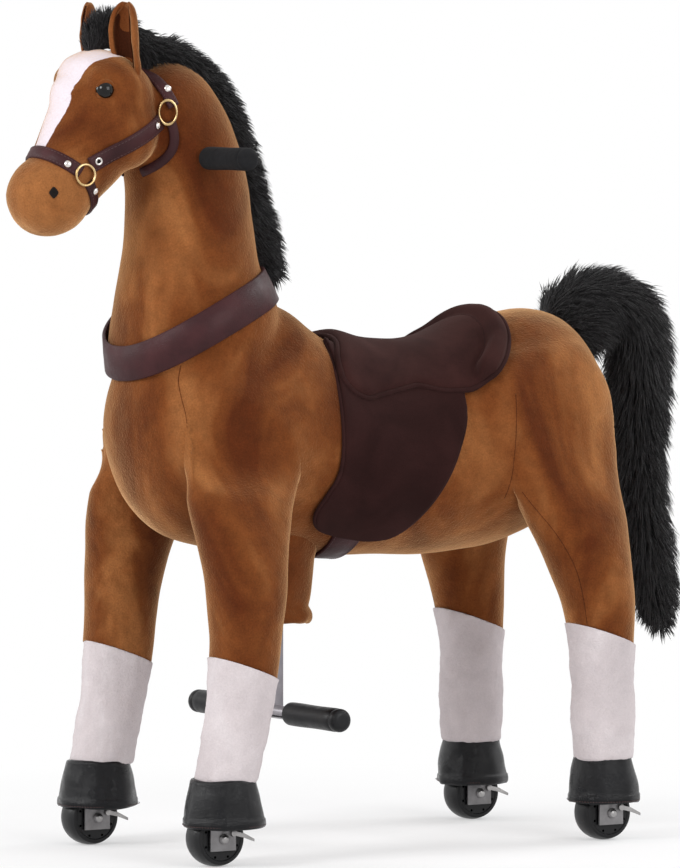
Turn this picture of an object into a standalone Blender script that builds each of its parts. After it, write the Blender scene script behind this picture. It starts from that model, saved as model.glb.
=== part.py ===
"""A walking ride-on horse: a plush horse over a steel frame.

Its front pair of legs and its rear pair swing apart and together, and a drive link couples them.
Units are metres. +X is forward, +Y is the horse's left and +Z is up. The origin lies on the ground,
midway between the front and rear wheels. Shapes of the left side are mirrored for the right side.
"""

import math

import bmesh
import bpy
from mathutils import Matrix, Vector

GAP = 0.0003
SIDES = {"left": 1.0, "right": -1.0}

# Wheels and forks
WHEEL_DIAMETER = 0.063
WHEEL_WIDTH = 0.030
WHEEL_FLAT = 0.012
WHEEL_FACETS = 20
TRACK = 0.267
WHEELBASE = 0.514
FRONT_AXLE_X = WHEELBASE / 2.0
REAR_AXLE_X = -WHEELBASE / 2.0
AXLE_DIAMETER = 0.008
BOLT_HEAD_DIAMETER = 0.012
BOLT_HEAD_HEIGHT = 0.004
RUNNING_CLEARANCE = 0.0008
FORK_PLATE = 0.0025
FORK_LENGTH = 0.032
FORK_TOP_LENGTH = 0.022
FORK_BELOW_AXLE = 0.013
FORK_ABOVE_WHEEL = 0.010
FORK_CHEEK = 0.012
KINGPIN_DIAMETER = 0.009
KINGPIN_LENGTH = 0.018
KINGPIN_SETBACK = 0.007
KINGPIN_LOOSE = 0.0003
WELD = 0.001

# Ratchet pawls
PAWL_BEHIND_AXLE = 0.0125
PAWL_ABOVE_AXLE = 0.006
PAWL_PIN_DIAMETER = 0.004
PAWL_EYE_DIAMETER = 0.0075
PAWL_REACH = 0.026
PAWL_DROP = 0.009
PAWL_THICKNESS = 0.0018
PAWL_WIDTH = 0.005
PAWL_EYE_RISE = 0.0006

# Leg frames: the pivots are tubes across the body and each frame is a bent tube
PIVOT_Z = 0.430
FRONT_PIVOT_X = 0.200
REAR_PIVOT_X = -0.215
LEG_TUBE_DIAMETER = 0.019
PIVOT_TUBE_WALL = 0.004
PIVOT_TUBE_LENGTH = 0.090
LEG_SWING = math.radians(12.0)
BEND_RADIUS = 0.022
LEG_SHOULDER_Y = 0.092
LEG_TUBE_FOOT = 0.012
CHANNEL_LOOSE = 0.002

# Drive link between the leg frames
LEVER_LENGTH = 0.040
LEVER_WIDTH = 0.016
LEVER_THICKNESS = 0.005
LEVER_Y = 0.0485
LINK_PIN_DIAMETER = 0.007
LINK_EYE_DIAMETER = 0.019
LINK_THICKNESS = 0.004
LINK_WIDTH = 0.010
LINK_PIN_END = 0.0005

# Main frame
SPINE_SIZE = 0.030
SPINE_WALL = 0.0025
SPINE_Z = 0.500
SPINE_SETBACK = 0.010
GUSSET_LENGTH = 0.050
GUSSET_THICKNESS = 0.010
SEAT_PLATE_LENGTH = 0.150
SEAT_PLATE_WIDTH = 0.080
SEAT_PLATE_THICKNESS = 0.004
SEAT_PLATE_Z = SPINE_Z + 0.033
SEAT_PLATE_X = -0.070
RISER_OFFSET = 0.050
RISER_LENGTH = 0.020
RISER_WIDTH = 0.024
HOLLOW_END = 0.030
HEAD_TUBE_DIAMETER = 0.034
HEAD_TUBE_LENGTH = 0.070
HEAD_TUBE_DROP = 0.006

# Footrest
POST_SIZE = 0.025
POST_X = 0.104
POST_SOCKET_WALL = 0.003
POST_SOCKET_LENGTH = 0.040
POST_STOP = 0.002
POST_FOOT = 0.004
PEG_BAR_DIAMETER = 0.015
PEG_BAR_Z = 0.153
PEG_GRIP_DIAMETER = 0.026
PEG_GRIP_LENGTH = 0.108
PEG_GRIP_START = 0.047
PEG_GRIP_CAP = 0.004
GRIP_EDGE = 0.15

# Sleeve round the footrest post
SLEEVE_BOTTOM_Z = 0.250
SLEEVE_TOP_Z = 0.335
SLEEVE_BOTTOM_RADIUS = 0.045
SLEEVE_TOP_RADIUS = 0.052
SLEEVE_WALL = 0.005
SLEEVE_HEM = 0.008
SLEEVE_WAIST = 0.002
SLEEVE_INSIDE = 0.030

# Steering: the neck turns about an axis square to the collar
COLLAR_RISE = math.radians(26.7)
COLLAR_X = 0.2085
COLLAR_Z = 0.5885
COLLAR_WIDTH = 0.030
COLLAR_THICKNESS = 0.004
COLLAR_SEAT = 0.016
STEM_DIAMETER = 0.022
STEM_BEND = 0.030
STEM_UPRIGHT_Z = 0.6885
STEM_ROOM = 0.012
HANDLEBAR_X = 0.2235
HANDLEBAR_Z = 0.771
HANDLEBAR_DIAMETER = 0.016
HANDLEBAR_GRIP_DIAMETER = 0.025
HANDLEBAR_GRIP_START = 0.066
HANDLEBAR_GRIP_LENGTH = 0.090
HANDLEBAR_GRIP_CAP = 0.004

# Boots and socks
BOOT_TOP_Z = 0.093
BOOT_BOTTOM_Z = 0.043
BOOT_WALL = 0.002
BOOT_HEM = 0.006
FRONT_BOOT_SETBACK = 0.011
REAR_BOOT_SETBACK = 0.0005
FRONT_BOOT_TOP_RADIUS = 0.0362
FRONT_BOOT_BOTTOM_RADIUS = 0.0440
REAR_BOOT_TOP_RADIUS = 0.0330
REAR_BOOT_BOTTOM_RADIUS = 0.0395
FRONT_SOCK_TOP_Z = 0.216
REAR_SOCK_TOP_Z = 0.231
FRONT_SOCK_SLOPE = 0.38
REAR_SOCK_SLOPE = 0.20

# Shoulder and haunch: discs about the pivots, in pockets of the torso
JOINT_DISC_RADIUS = 0.088
JOINT_DISC_INNER_Y = 0.068
JOINT_DISC_OUTER_Y = 0.114
JOINT_DISC_PROFILE = (
    (0.00, 0.00),
    (1.00, 0.00),
    (1.00, 0.45),
    (0.93, 0.70),
    (0.72, 0.90),
    (0.35, 1.00),
    (0.00, 1.00),
)
POCKET_CLEARANCE = 0.001
POCKET_STEP = 0.0015
CAVITY_HALF_WIDTH = 0.0625
CAVITY_BOTTOM_Z = PIVOT_Z - 0.038
CAVITY_TOP_Z = SEAT_PLATE_Z + 0.008
CAVITY_MARGIN = 0.030
LEVER_ROOM_MARGIN = 0.0015
LEVER_ROOM_LENGTH = 0.093
POST_ROOM = 0.006
BEYOND = 0.2

# Torso sections: x, top z, bottom z, half width
TORSO_SECTIONS = (
    (0.294, 0.500, 0.455, 0.020),
    (0.287, 0.535, 0.418, 0.048),
    (0.270, 0.560, 0.380, 0.074),
    (0.235, 0.585, 0.352, 0.096),
    (0.180, 0.605, 0.337, 0.106),
    (0.115, 0.610, 0.330, 0.108),
    (0.070, 0.586, 0.327, 0.106),
    (0.020, 0.561, 0.325, 0.105),
    (-0.050, 0.553, 0.322, 0.105),
    (-0.110, 0.560, 0.322, 0.107),
    (-0.170, 0.583, 0.328, 0.112),
    (-0.225, 0.597, 0.344, 0.114),
    (-0.270, 0.588, 0.370, 0.104),
    (-0.300, 0.560, 0.405, 0.078),
    (-0.317, 0.522, 0.445, 0.040),
)

# Neck sections: x, z, lean of the section in degrees, half depth, half width
NECK_SECTIONS = (
    (0.2013, 0.5742, -26.7, 0.1010, 0.0960),
    (0.2085, 0.5960, -23.0, 0.0960, 0.0910),
    (0.2105, 0.6350, -14.0, 0.0840, 0.0790),
    (0.2080, 0.6900, -4.0, 0.0745, 0.0700),
    (0.2120, 0.7450, -10.0, 0.0690, 0.0660),
    (0.2250, 0.7900, -20.0, 0.0660, 0.0620),
    (0.2480, 0.8280, -34.0, 0.0600, 0.0570),
    (0.2720, 0.8460, -44.0, 0.0480, 0.0480),
    (0.2900, 0.8500, -50.0, 0.0220, 0.0240),
)

# Foot of the neck inside the torso: x, y, z, lean, half depth, half width
STUMP_FOOT = (0.185, 0.0, 0.500, -20.0, 0.085, 0.088)
STUMP_RISE = 0.030
STEERING_GAP = 0.0005

HEAD_LEAN = 31.0

# Head sections, from the poll to the lip: x, z, lean, half depth, half width
HEAD_SECTIONS = (
    (0.2900, 0.9010, HEAD_LEAN, 0.0160, 0.0200),
    (0.2950, 0.8920, HEAD_LEAN, 0.0340, 0.0400),
    (0.3020, 0.8750, HEAD_LEAN, 0.0500, 0.0550),
    (0.3110, 0.8460, HEAD_LEAN, 0.0590, 0.0620),
    (0.3230, 0.8120, HEAD_LEAN, 0.0600, 0.0580),
    (0.3450, 0.7780, HEAD_LEAN, 0.0530, 0.0490),
    (0.3660, 0.7520, HEAD_LEAN, 0.0455, 0.0445),
    (0.3850, 0.7330, HEAD_LEAN, 0.0455, 0.0460),
    (0.3980, 0.7130, HEAD_LEAN, 0.0400, 0.0410),
    (0.4070, 0.6990, HEAD_LEAN, 0.0270, 0.0280),
    (0.4110, 0.6930, HEAD_LEAN, 0.0120, 0.0130),
)

# Mane sections down the crest: x, z, lean, half depth, half width
MANE_SECTIONS = (
    (0.3560, 0.8860, 46.0, 0.0060, 0.0080),
    (0.3410, 0.8990, 66.0, 0.0150, 0.0190),
    (0.3080, 0.9090, 90.0, 0.0200, 0.0230),
    (0.2700, 0.8880, 106.0, 0.0240, 0.0220),
    (0.2260, 0.8720, 122.0, 0.0280, 0.0210),
    (0.1850, 0.8400, 138.0, 0.0300, 0.0210),
    (0.1580, 0.7900, 156.0, 0.0300, 0.0210),
    (0.1400, 0.7350, 162.0, 0.0290, 0.0200),
    (0.1240, 0.6850, 162.0, 0.0300, 0.0190),
    (0.1080, 0.6350, 162.0, 0.0240, 0.0150),
)

# Tail sections from the root: x, z, lean, half depth, half width
TAIL_SECTIONS = (
    (-0.2700, 0.5880, 62.0, 0.0140, 0.0200),
    (-0.3050, 0.6060, 74.0, 0.0200, 0.0260),
    (-0.3500, 0.6080, 100.0, 0.0270, 0.0300),
    (-0.3880, 0.5820, 140.0, 0.0320, 0.0330),
    (-0.3990, 0.5300, 172.0, 0.0320, 0.0330),
    (-0.3960, 0.4600, 182.0, 0.0290, 0.0320),
    (-0.3980, 0.3800, 178.0, 0.0270, 0.0300),
    (-0.4100, 0.3100, 170.0, 0.0270, 0.0280),
    (-0.4230, 0.2550, 167.0, 0.0220, 0.0210),
    (-0.4320, 0.2220, 166.0, 0.0060, 0.0070),
)

# Limb sections down from the pivot: share of the way from the pivot to the axle, share of half the track, z,
# half depth, half width
FRONT_LIMB = (
    (0.05, 0.72, 0.440, 0.0640, 0.0250),
    (0.12, 0.81, 0.390, 0.0600, 0.0360),
    (0.175, 0.89, 0.350, 0.0530, 0.0420),
    (0.23, 0.95, 0.310, 0.0465, 0.0420),
    (0.28, 0.99, 0.265, 0.0420, 0.0400),
    (0.33, 1.00, 0.216, 0.0385, 0.0380),
    (0.42, 1.00, 0.170, 0.0350, 0.0350),
    (0.58, 1.00, 0.130, 0.0345, 0.0345),
    (0.75, 1.00, 0.090, 0.0335, 0.0335),
)
REAR_LIMB = (
    (0.05, 0.72, 0.440, 0.0700, 0.0250),
    (0.26, 0.81, 0.390, 0.0660, 0.0360),
    (0.48, 0.89, 0.350, 0.0600, 0.0430),
    (0.67, 0.95, 0.310, 0.0510, 0.0430),
    (0.83, 0.99, 0.270, 0.0430, 0.0410),
    (0.96, 1.00, 0.228, 0.0375, 0.0370),
    (1.01, 1.00, 0.180, 0.0345, 0.0345),
    (1.01, 1.00, 0.130, 0.0340, 0.0340),
    (1.01, 1.00, 0.090, 0.0320, 0.0320),
)

# Ears, eyes and bridle
EAR_X = 0.300
EAR_Y = 0.040
EAR_BASE_Z = 0.872
EAR_TIP_Z = 0.940
EAR_WIDTH = 0.036
EAR_DEPTH = 0.022

# Ear sections: forward, outward, share of the height, shares of the depth and the width
EAR_SECTIONS = (
    (0.000, 0.000, 0.00, 0.45, 0.36),
    (0.002, 0.003, 0.32, 0.50, 0.50),
    (0.003, 0.006, 0.62, 0.40, 0.46),
    (0.000, 0.008, 0.86, 0.24, 0.27),
    (-0.003, 0.008, 1.00, 0.09, 0.07),
)

EYE_X = 0.352
EYE_Y = 0.0520
EYE_Z = 0.848
EYE_RADIUS = 0.011
STRAP_WIDTH = 0.017
STRAP_THICKNESS = 0.0025
NOSEBAND_X = 0.373
NOSEBAND_Z = 0.752
CROWN_X = 0.266
CROWN_Z = 0.940
RING_WIRE = 0.0024
LOWER_RING_RADIUS = 0.011
LOWER_RING_X = 0.366
LOWER_RING_Y = 0.0500
LOWER_RING_Z = 0.754
UPPER_RING_RADIUS = 0.012
UPPER_RING_X = 0.266
UPPER_RING_Y = 0.0594
UPPER_RING_Z = 0.806

# Saddle
CLOTH_THICKNESS = 0.004
SEAT_THICKNESS = 0.012
CANTLE_X = -0.142
CANTLE_HEIGHT = 0.050
CANTLE_LENGTH = 0.078
CANTLE_HALF_WIDTH = 0.098
CANTLE_Z = 0.556
CANTLE_STEPS = 7
GIRTH_X = 0.022
GIRTH_WIDTH = 0.036
GIRTH_THICKNESS = 0.003
GIRTH_TOP_Z = 0.400
FLAP_OUTLINE = (
    (0.075, 0.640),
    (0.088, 0.515),
    (0.090, 0.440),
    (0.078, 0.385),
    (0.033, 0.356),
    (-0.019, 0.382),
    (-0.059, 0.427),
    (-0.092, 0.505),
    (-0.120, 0.640),
)

SEAT_OUTLINE = (
    (0.070, 0.680),
    (0.078, 0.560),
    (0.085, 0.532),
    (0.060, 0.518),
    (-0.003, 0.535),
    (-0.045, 0.528),
    (-0.088, 0.515),
    (-0.122, 0.530),
    (-0.155, 0.558),
    (-0.176, 0.600),
    (-0.176, 0.680),
)

# Return springs round the pivot tubes
SPRING_WIRE = 0.003
SPRING_LOOSE = 0.0016
SPRING_ARM = 0.018
SPRING_TURNS = 4
SPRING_START_Y = 0.012
SPRING_PITCH = 0.0055

RING_POINTS = 16
BODY_POINTS = 18
LIMB_POINTS = 12
JOINT_DISC_POINTS = 24
KINGPIN_POINTS = 16
TURN_POINTS = 8


def material(name, colour, roughness, metallic=0.0):
    made = bpy.data.materials.new(name)
    made.use_nodes = True
    shader = made.node_tree.nodes["Principled BSDF"]
    shader.inputs["Base Color"].default_value = (*colour, 1.0)
    shader.inputs["Roughness"].default_value = roughness
    shader.inputs["Metallic"].default_value = metallic
    return made


COLOURS = {
    "plush": ((0.38, 0.13, 0.035), 0.95, 0.0),
    "sock": ((0.70, 0.64, 0.62), 0.95, 0.0),
    "hair": ((0.012, 0.010, 0.010), 0.85, 0.0),
    "vinyl": ((0.016, 0.015, 0.017), 0.35, 0.0),
    "leather": ((0.060, 0.022, 0.022), 0.50, 0.0),
    "suede": ((0.055, 0.018, 0.016), 0.95, 0.0),
    "steel": ((0.25, 0.25, 0.25), 0.45, 1.0),
    "bright": ((0.55, 0.55, 0.55), 0.25, 1.0),
    "rubber": ((0.014, 0.014, 0.015), 0.80, 0.0),
    "brass": ((0.55, 0.38, 0.18), 0.30, 1.0),
    "eye": ((0.004, 0.003, 0.003), 0.05, 0.0),
}


def make_object(name, bm, look=None, parent=None, smooth=True):
    """Turn a bmesh into an object. Without a look it is a hidden cutter."""
    bmesh.ops.recalc_face_normals(bm, faces=bm.faces)
    if bm.calc_volume(signed=True) < 0.0:
        bmesh.ops.reverse_faces(bm, faces=bm.faces)
    mesh = bpy.data.meshes.new(name)
    bm.to_mesh(mesh)
    bm.free()
    made = bpy.data.objects.new(name, mesh)
    bpy.context.scene.collection.objects.link(made)
    if look is None:
        made.hide_render = True
        made.display_type = "WIRE"
        return made
    mesh.materials.append(material(name, *COLOURS[look]))
    if smooth:
        mesh.shade_smooth()
        mesh.set_sharp_from_angle(angle=math.radians(40.0))
    if parent is not None:
        place_under(made, parent)
    return made


def place_under(child, parent):
    child.parent = parent
    child.matrix_parent_inverse = parent.matrix_world.inverted()


def boolean(target, tool, operation="DIFFERENCE", solver="EXACT"):
    step = target.modifiers.new(f"{operation.lower()} {tool.name}", "BOOLEAN")
    step.operation = operation
    step.solver = solver
    step.object = tool


def empty(name, place):
    made = bpy.data.objects.new(name, None)
    made.location = place
    bpy.context.scene.collection.objects.link(made)
    bpy.context.view_layer.update()
    return made


def empty_under(name, place, parent):
    made = empty(name, place)
    place_under(made, parent)
    bpy.context.view_layer.update()
    return made


def curve_through(rows, steps):
    """Rows of numbers on a smooth curve through the given rows, with steps between each two."""
    smooth = []
    last = len(rows) - 1
    for index in range(last):
        before = rows[max(index - 1, 0)]
        start = rows[index]
        end = rows[index + 1]
        after = rows[min(index + 2, last)]
        for step in range(steps):
            t = step / steps
            smooth.append(
                tuple(
                    0.5
                    * (
                        2.0 * p1
                        + (p2 - p0) * t
                        + (2.0 * p0 - 5.0 * p1 + 4.0 * p2 - p3) * t * t
                        + (3.0 * p1 - p0 - 3.0 * p2 + p3) * t**3
                    )
                    for p0, p1, p2, p3 in zip(before, start, end, after)
                )
            )
    smooth.append(rows[last])
    return smooth


def loft(rows, grow=0.0, steps=1, power=2.0, points=RING_POINTS):
    """Closed solid through rings of x, y, z, lean in degrees, half depth and half width."""
    bm = bmesh.new()
    rings = []
    for x, y, z, lean, depth, width in curve_through(rows, steps):
        along = Vector((math.cos(math.radians(lean)), 0.0, math.sin(math.radians(lean))))
        ring = []
        for index in range(points):
            angle = 2.0 * math.pi * (index + 0.5) / points
            cosine = math.copysign(abs(math.cos(angle)) ** (2.0 / power), math.cos(angle))
            sine = math.copysign(abs(math.sin(angle)) ** (2.0 / power), math.sin(angle))
            place = Vector((x, y, z)) + along * (depth + grow) * cosine
            place.y += (width + grow) * sine
            ring.append(bm.verts.new(place))
        rings.append(ring)
    skin_rings(bm, rings)
    return bm


def skin_rings(bm, rings):
    """Flat triangles between rings of vertices, and a cap at each end."""
    points = len(rings[0])
    for ring, following in zip(rings, rings[1:]):
        for index in range(points):
            after = (index + 1) % points
            corners = (ring[index], ring[after], following[after], following[index])
            if index >= points // 2:
                corners = corners[1:] + corners[:1]
            bm.faces.new(corners[:3])
            bm.faces.new((corners[2], corners[3], corners[0]))
    bm.faces.new(rings[0])
    bm.faces.new(rings[-1])


def turned(profile, centre, axis, points=24, turn=0.5):
    """Closed solid turned about an axis from a closed profile of radius and height."""
    bm = bmesh.new()
    spin = Vector((0.0, 0.0, 1.0)).rotation_difference(Vector(axis)).to_matrix().to_4x4()
    placed = Matrix.Translation(centre) @ spin
    rings = []
    for radius, height in profile:
        if radius == 0.0:
            rings.append([bm.verts.new(placed @ Vector((0.0, 0.0, height)))])
            continue
        ring = []
        for index in range(points):
            angle = 2.0 * math.pi * (index + turn) / points
            spot = Vector((radius * math.cos(angle), radius * math.sin(angle), height))
            ring.append(bm.verts.new(placed @ spot))
        rings.append(ring)
    closed = profile[0][0] > 0.0 and profile[-1][0] > 0.0
    pairs = list(zip(rings, rings[1:]))
    if closed:
        pairs.append((rings[-1], rings[0]))
    for ring, following in pairs:
        for index in range(points):
            after = (index + 1) % points
            corners = [ring[index % len(ring)], ring[after % len(ring)]]
            corners += [following[after % len(following)], following[index % len(following)]]
            bm.faces.new(list(dict.fromkeys(corners)))
    return bm


def rod(start, end, radius, points=16):
    """Closed cylinder between two points."""
    start = Vector(start)
    end = Vector(end)
    length = (end - start).length
    profile = ((0.0, 0.0), (radius, 0.0), (radius, length), (0.0, length))
    return turned(profile, start, (end - start).normalized(), points)


def box(low, high):
    bm = bmesh.new()
    bmesh.ops.create_cube(bm, size=1.0)
    low = Vector(low)
    high = Vector(high)
    size = high - low
    for vert in bm.verts:
        vert.co = Vector(a * b for a, b in zip(vert.co, size)) + (low + high) * 0.5
    return bm


def prism(outline, low_y, high_y):
    """Solid with an outline of x and z, from one y to another."""
    bm = bmesh.new()
    face = bm.faces.new([bm.verts.new((x, low_y, z)) for x, z in outline])
    grown = bmesh.ops.extrude_face_region(bm, geom=[face])
    moved = [item for item in grown["geom"] if isinstance(item, bmesh.types.BMVert)]
    bmesh.ops.translate(bm, verts=moved, vec=(0.0, high_y - low_y, 0.0))
    return bm


def rounded_path(corners, radius, steps=2):
    """Corner points with each inner corner replaced by an arc."""
    corners = [Vector(corner) for corner in corners]
    path = [corners[0]]
    for before, corner, after in zip(corners, corners[1:], corners[2:]):
        back = (before - corner).normalized()
        ahead = (after - corner).normalized()
        half = back.angle(ahead) / 2.0
        reach = min(radius / math.tan(half), 0.45 * min((before - corner).length, (after - corner).length))
        real = reach * math.tan(half)
        centre = corner + (back + ahead).normalized() * (real / math.sin(half))
        start = corner + back * reach - centre
        end = corner + ahead * reach - centre
        for step in range(steps + 1):
            path.append(centre + start.normalized().slerp(end.normalized(), step / steps) * real)
    path.append(corners[-1])
    return path


def bent_tube(path, radius, sides=8):
    """Solid round bar along a path, with square ends."""
    bm = bmesh.new()
    side = Vector((1.0, 0.0, 0.0))
    rings = []
    for index, place in enumerate(path):
        before = path[max(index - 1, 0)]
        after = path[min(index + 1, len(path) - 1)]
        heading = (after - before).normalized()
        side = (side - heading * side.dot(heading)).normalized()
        other = heading.cross(side)
        turn = (place - before).angle(after - place) if 0 < index < len(path) - 1 else 0.0
        ring = []
        for count in range(sides):
            angle = 2.0 * math.pi * count / sides
            offset = (side * math.cos(angle) + other * math.sin(angle)) * radius / math.cos(turn / 2.0)
            ring.append(bm.verts.new(place + offset))
        rings.append(ring)
    skin_rings(bm, rings)
    return bm


def cutter(name, bm):
    return make_object(name, bm)


def body_rows():
    rows = []
    for x, top, bottom, width in TORSO_SECTIONS:
        rows.append((x, 0.0, (top + bottom) / 2.0, 90.0, (top - bottom) / 2.0, width))
    return rows


def middle_rows(sections):
    return [(x, 0.0, z, lean, depth, width) for x, z, lean, depth, width in sections]


def limb_rows(front, side):
    """Loft rows of a limb, hung between its pivot and its wheel."""
    sections = FRONT_LIMB if front else REAR_LIMB
    pivot_x = FRONT_PIVOT_X if front else REAR_PIVOT_X
    way = (FRONT_AXLE_X if front else REAR_AXLE_X) - pivot_x
    half_track = side * TRACK / 2.0
    return [(pivot_x + x * way, y * half_track, z, 0.0, depth, width) for x, y, z, depth, width in sections]


def collar_normal():
    return Vector((math.sin(COLLAR_RISE), 0.0, math.cos(COLLAR_RISE)))


def collar_point(height):
    """Point on the steering axis, at a height above the collar's middle."""
    return Vector((COLLAR_X, 0.0, COLLAR_Z)) + collar_normal() * height


def collar_slab(low, high):
    """Block between two planes square to the steering axis."""
    bm = box((-BEYOND, -BEYOND, low), (BEYOND, BEYOND, high))
    turn = Matrix.Rotation(COLLAR_RISE, 4, "Y")
    bmesh.ops.transform(bm, matrix=Matrix.Translation((COLLAR_X, 0.0, COLLAR_Z)) @ turn, verts=bm.verts)
    return bm


def leg_path(front, side):
    """Middle line of a leg tube, from the horse's middle to the kingpin."""
    pivot_x = FRONT_PIVOT_X if front else REAR_PIVOT_X
    rows = limb_rows(front, side)
    knee = rows[2]
    shin = rows[5]
    foot_x = FRONT_AXLE_X - KINGPIN_SETBACK if front else REAR_AXLE_X
    half_track = TRACK / 2.0
    foot_z = fork_top_z() + GAP
    shank_z = foot_z + KINGPIN_LENGTH + LEG_TUBE_FOOT
    return (
        (pivot_x, 0.0, PIVOT_Z),
        (pivot_x, side * LEG_SHOULDER_Y, PIVOT_Z),
        knee[:3],
        shin[:3],
        (foot_x, side * half_track, shank_z),
        (foot_x, side * half_track, foot_z),
    )


def leg_tube_path(front):
    """Middle line of a whole leg frame's tube, from the right kingpin to the left one."""
    left = rounded_path(leg_path(front, 1.0), BEND_RADIUS)
    right = [Vector((p.x, -p.y, p.z)) for p in left]
    return list(reversed(right)) + left[1:]


def wheel_centre_z():
    """The wheel stands on one flat facet of its tread."""
    return WHEEL_DIAMETER / 2.0 * math.cos(math.pi / WHEEL_FACETS)


def fork_top_z():
    return wheel_centre_z() + WHEEL_DIAMETER / 2.0 + FORK_ABOVE_WHEEL


def fork_inner_y():
    return WHEEL_WIDTH / 2.0 + RUNNING_CLEARANCE


def fork_outer_y():
    return fork_inner_y() + FORK_PLATE


def make_wheel(name, centre, parent):
    radius = WHEEL_DIAMETER / 2.0
    half = WHEEL_WIDTH / 2.0
    bore = AXLE_DIAMETER / 2.0 + GAP
    profile = [
        (bore, -half),
        (radius * 0.84, -half),
        (radius * 0.96, -half * 0.68),
        (radius, -WHEEL_FLAT / 2.0),
    ]
    profile += [(r, -y) for r, y in reversed(profile)]
    make_object(name, turned(profile, centre, (0.0, 1.0, 0.0), WHEEL_FACETS), "rubber", parent)


def make_fork(name, centre, front, parent):
    """Inverted U of plate with its kingpin, and the axle bolt clamped in it."""
    top = fork_top_z()
    inner = fork_inner_y()
    outer = fork_outer_y()
    half = FORK_LENGTH / 2.0
    top_half = FORK_TOP_LENGTH / 2.0
    pin_x = centre.x - KINGPIN_SETBACK if front else centre.x
    bottom = centre.z - FORK_BELOW_AXLE
    shoulder = centre.z + FORK_CHEEK
    outline = (
        (centre.x - half, bottom),
        (centre.x + half, bottom),
        (centre.x + half, shoulder),
        (pin_x + top_half, top),
        (pin_x - top_half, top),
        (centre.x - half, shoulder),
    )
    bm = prism(outline, centre.y - outer, centre.y + outer)
    fork = make_object(name, bm, "steel", parent)
    low = (centre.x - BEYOND, centre.y - inner, bottom - BEYOND)
    high = (centre.x + BEYOND, centre.y + inner, top - FORK_PLATE)
    boolean(fork, cutter(f"{name} throat", box(low, high)))
    pin_low = (pin_x, centre.y, top - FORK_PLATE / 2.0)
    pin_high = (pin_x, centre.y, top + KINGPIN_LENGTH)
    kingpin = rod(pin_low, pin_high, KINGPIN_DIAMETER / 2.0, KINGPIN_POINTS)
    boolean(fork, cutter(f"{name} kingpin", kingpin), "UNION")
    reach = outer + BOLT_HEAD_HEIGHT
    head = BOLT_HEAD_DIAMETER / 2.0
    dome = BOLT_HEAD_HEIGHT * 0.4
    half_bolt = [(0.0, reach), (head * 0.6, reach), (head, reach - dome), (head, outer - WELD)]
    half_bolt.append((AXLE_DIAMETER / 2.0, outer - WELD))
    profile = half_bolt + [(r, -y) for r, y in reversed(half_bolt)]
    bolt = cutter(f"{name} bolt", turned(profile, centre, (0.0, 1.0, 0.0), 8))
    boolean(fork, bolt, "UNION")
    hole = pawl_pin_place(centre)
    low = (hole.x, hole.y - FORK_PLATE * 2.0, hole.z)
    high = (hole.x, hole.y + FORK_PLATE, hole.z)
    boolean(fork, cutter(f"{name} pawl hole", rod(low, high, PAWL_PIN_DIAMETER / 2.0 + GAP, 8)))


def pawl_pin_place(centre):
    """Where the pawl's pin meets the fork's left face."""
    z = centre.z + PAWL_ABOVE_AXLE
    return Vector((centre.x - PAWL_BEHIND_AXLE, centre.y + fork_outer_y(), z))


def make_pawl(name, centre, parent):
    """Bent strip with an eye and a pin in the fork's plate, sloping down to the rear."""
    pin = pawl_pin_place(centre)
    near = GAP
    far = GAP + PAWL_THICKNESS
    half = PAWL_WIDTH / 2.0
    outline = (
        (pin.x, pin.z + half),
        (pin.x, pin.z - half),
        (pin.x - PAWL_REACH * 0.5, pin.z - half - PAWL_DROP * 0.35),
        (pin.x - PAWL_REACH, pin.z - PAWL_DROP - half * 0.6),
        (pin.x - PAWL_REACH, pin.z - PAWL_DROP + half * 0.6),
        (pin.x - PAWL_REACH * 0.5, pin.z + half - PAWL_DROP * 0.35),
    )
    pawl = make_object(name, prism(outline, pin.y + near, pin.y + far), "bright", parent, False)
    eye = rod(
        (pin.x, pin.y + near, pin.z),
        (pin.x, pin.y + far + PAWL_EYE_RISE, pin.z),
        PAWL_EYE_DIAMETER / 2.0,
        8,
    )
    boolean(pawl, cutter(f"{name} eye", eye), "UNION")
    pin_rod = rod(
        (pin.x, pin.y - FORK_PLATE + GAP, pin.z),
        (pin.x, pin.y + far + PAWL_EYE_RISE / 2.0, pin.z),
        PAWL_PIN_DIAMETER / 2.0,
        8,
    )
    boolean(pawl, cutter(f"{name} pin", pin_rod), "UNION")


def make_leg_frame(name, front, parent):
    """Both leg tubes, the pivot shaft across the body and the drive lever, welded together."""
    tube = bent_tube(leg_tube_path(front), LEG_TUBE_DIAMETER / 2.0)
    frame = make_object(name, tube, "steel", parent)
    for word, side in SIDES.items():
        foot = leg_path(front, side)[-1]
        low = (foot[0], foot[1], foot[2] - KINGPIN_LENGTH)
        high = (foot[0], foot[1], foot[2] + KINGPIN_LENGTH + WELD)
        bore = rod(low, high, KINGPIN_DIAMETER / 2.0 + KINGPIN_LOOSE, KINGPIN_POINTS)
        boolean(frame, cutter(f"{name} {word} bore", bore))
    x = FRONT_PIVOT_X if front else REAR_PIVOT_X
    way = 1.0 if front else -1.0
    half = LEVER_WIDTH / 2.0
    tip = PIVOT_Z + way * LEVER_LENGTH
    outline = (
        (x - half, PIVOT_Z),
        (x - half * 0.8, tip),
        (x, tip + way * half),
        (x + half * 0.8, tip),
        (x + half, PIVOT_Z),
    )
    near = LEVER_Y
    lever = cutter(f"{name} lever", prism(outline, near, near + LEVER_THICKNESS))
    boolean(frame, lever, "UNION")
    pin_end = near + LEVER_THICKNESS + GAP + LINK_THICKNESS + LINK_PIN_END
    pin = rod((x, near + WELD, tip), (x, pin_end, tip), LINK_PIN_DIAMETER / 2.0, 12)
    boolean(frame, cutter(f"{name} lever pin", pin), "UNION")


def lever_pin_place():
    """The front lever's pin, on which the drive link turns."""
    return Vector((FRONT_PIVOT_X, 0.0, PIVOT_Z + LEVER_LENGTH))


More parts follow.
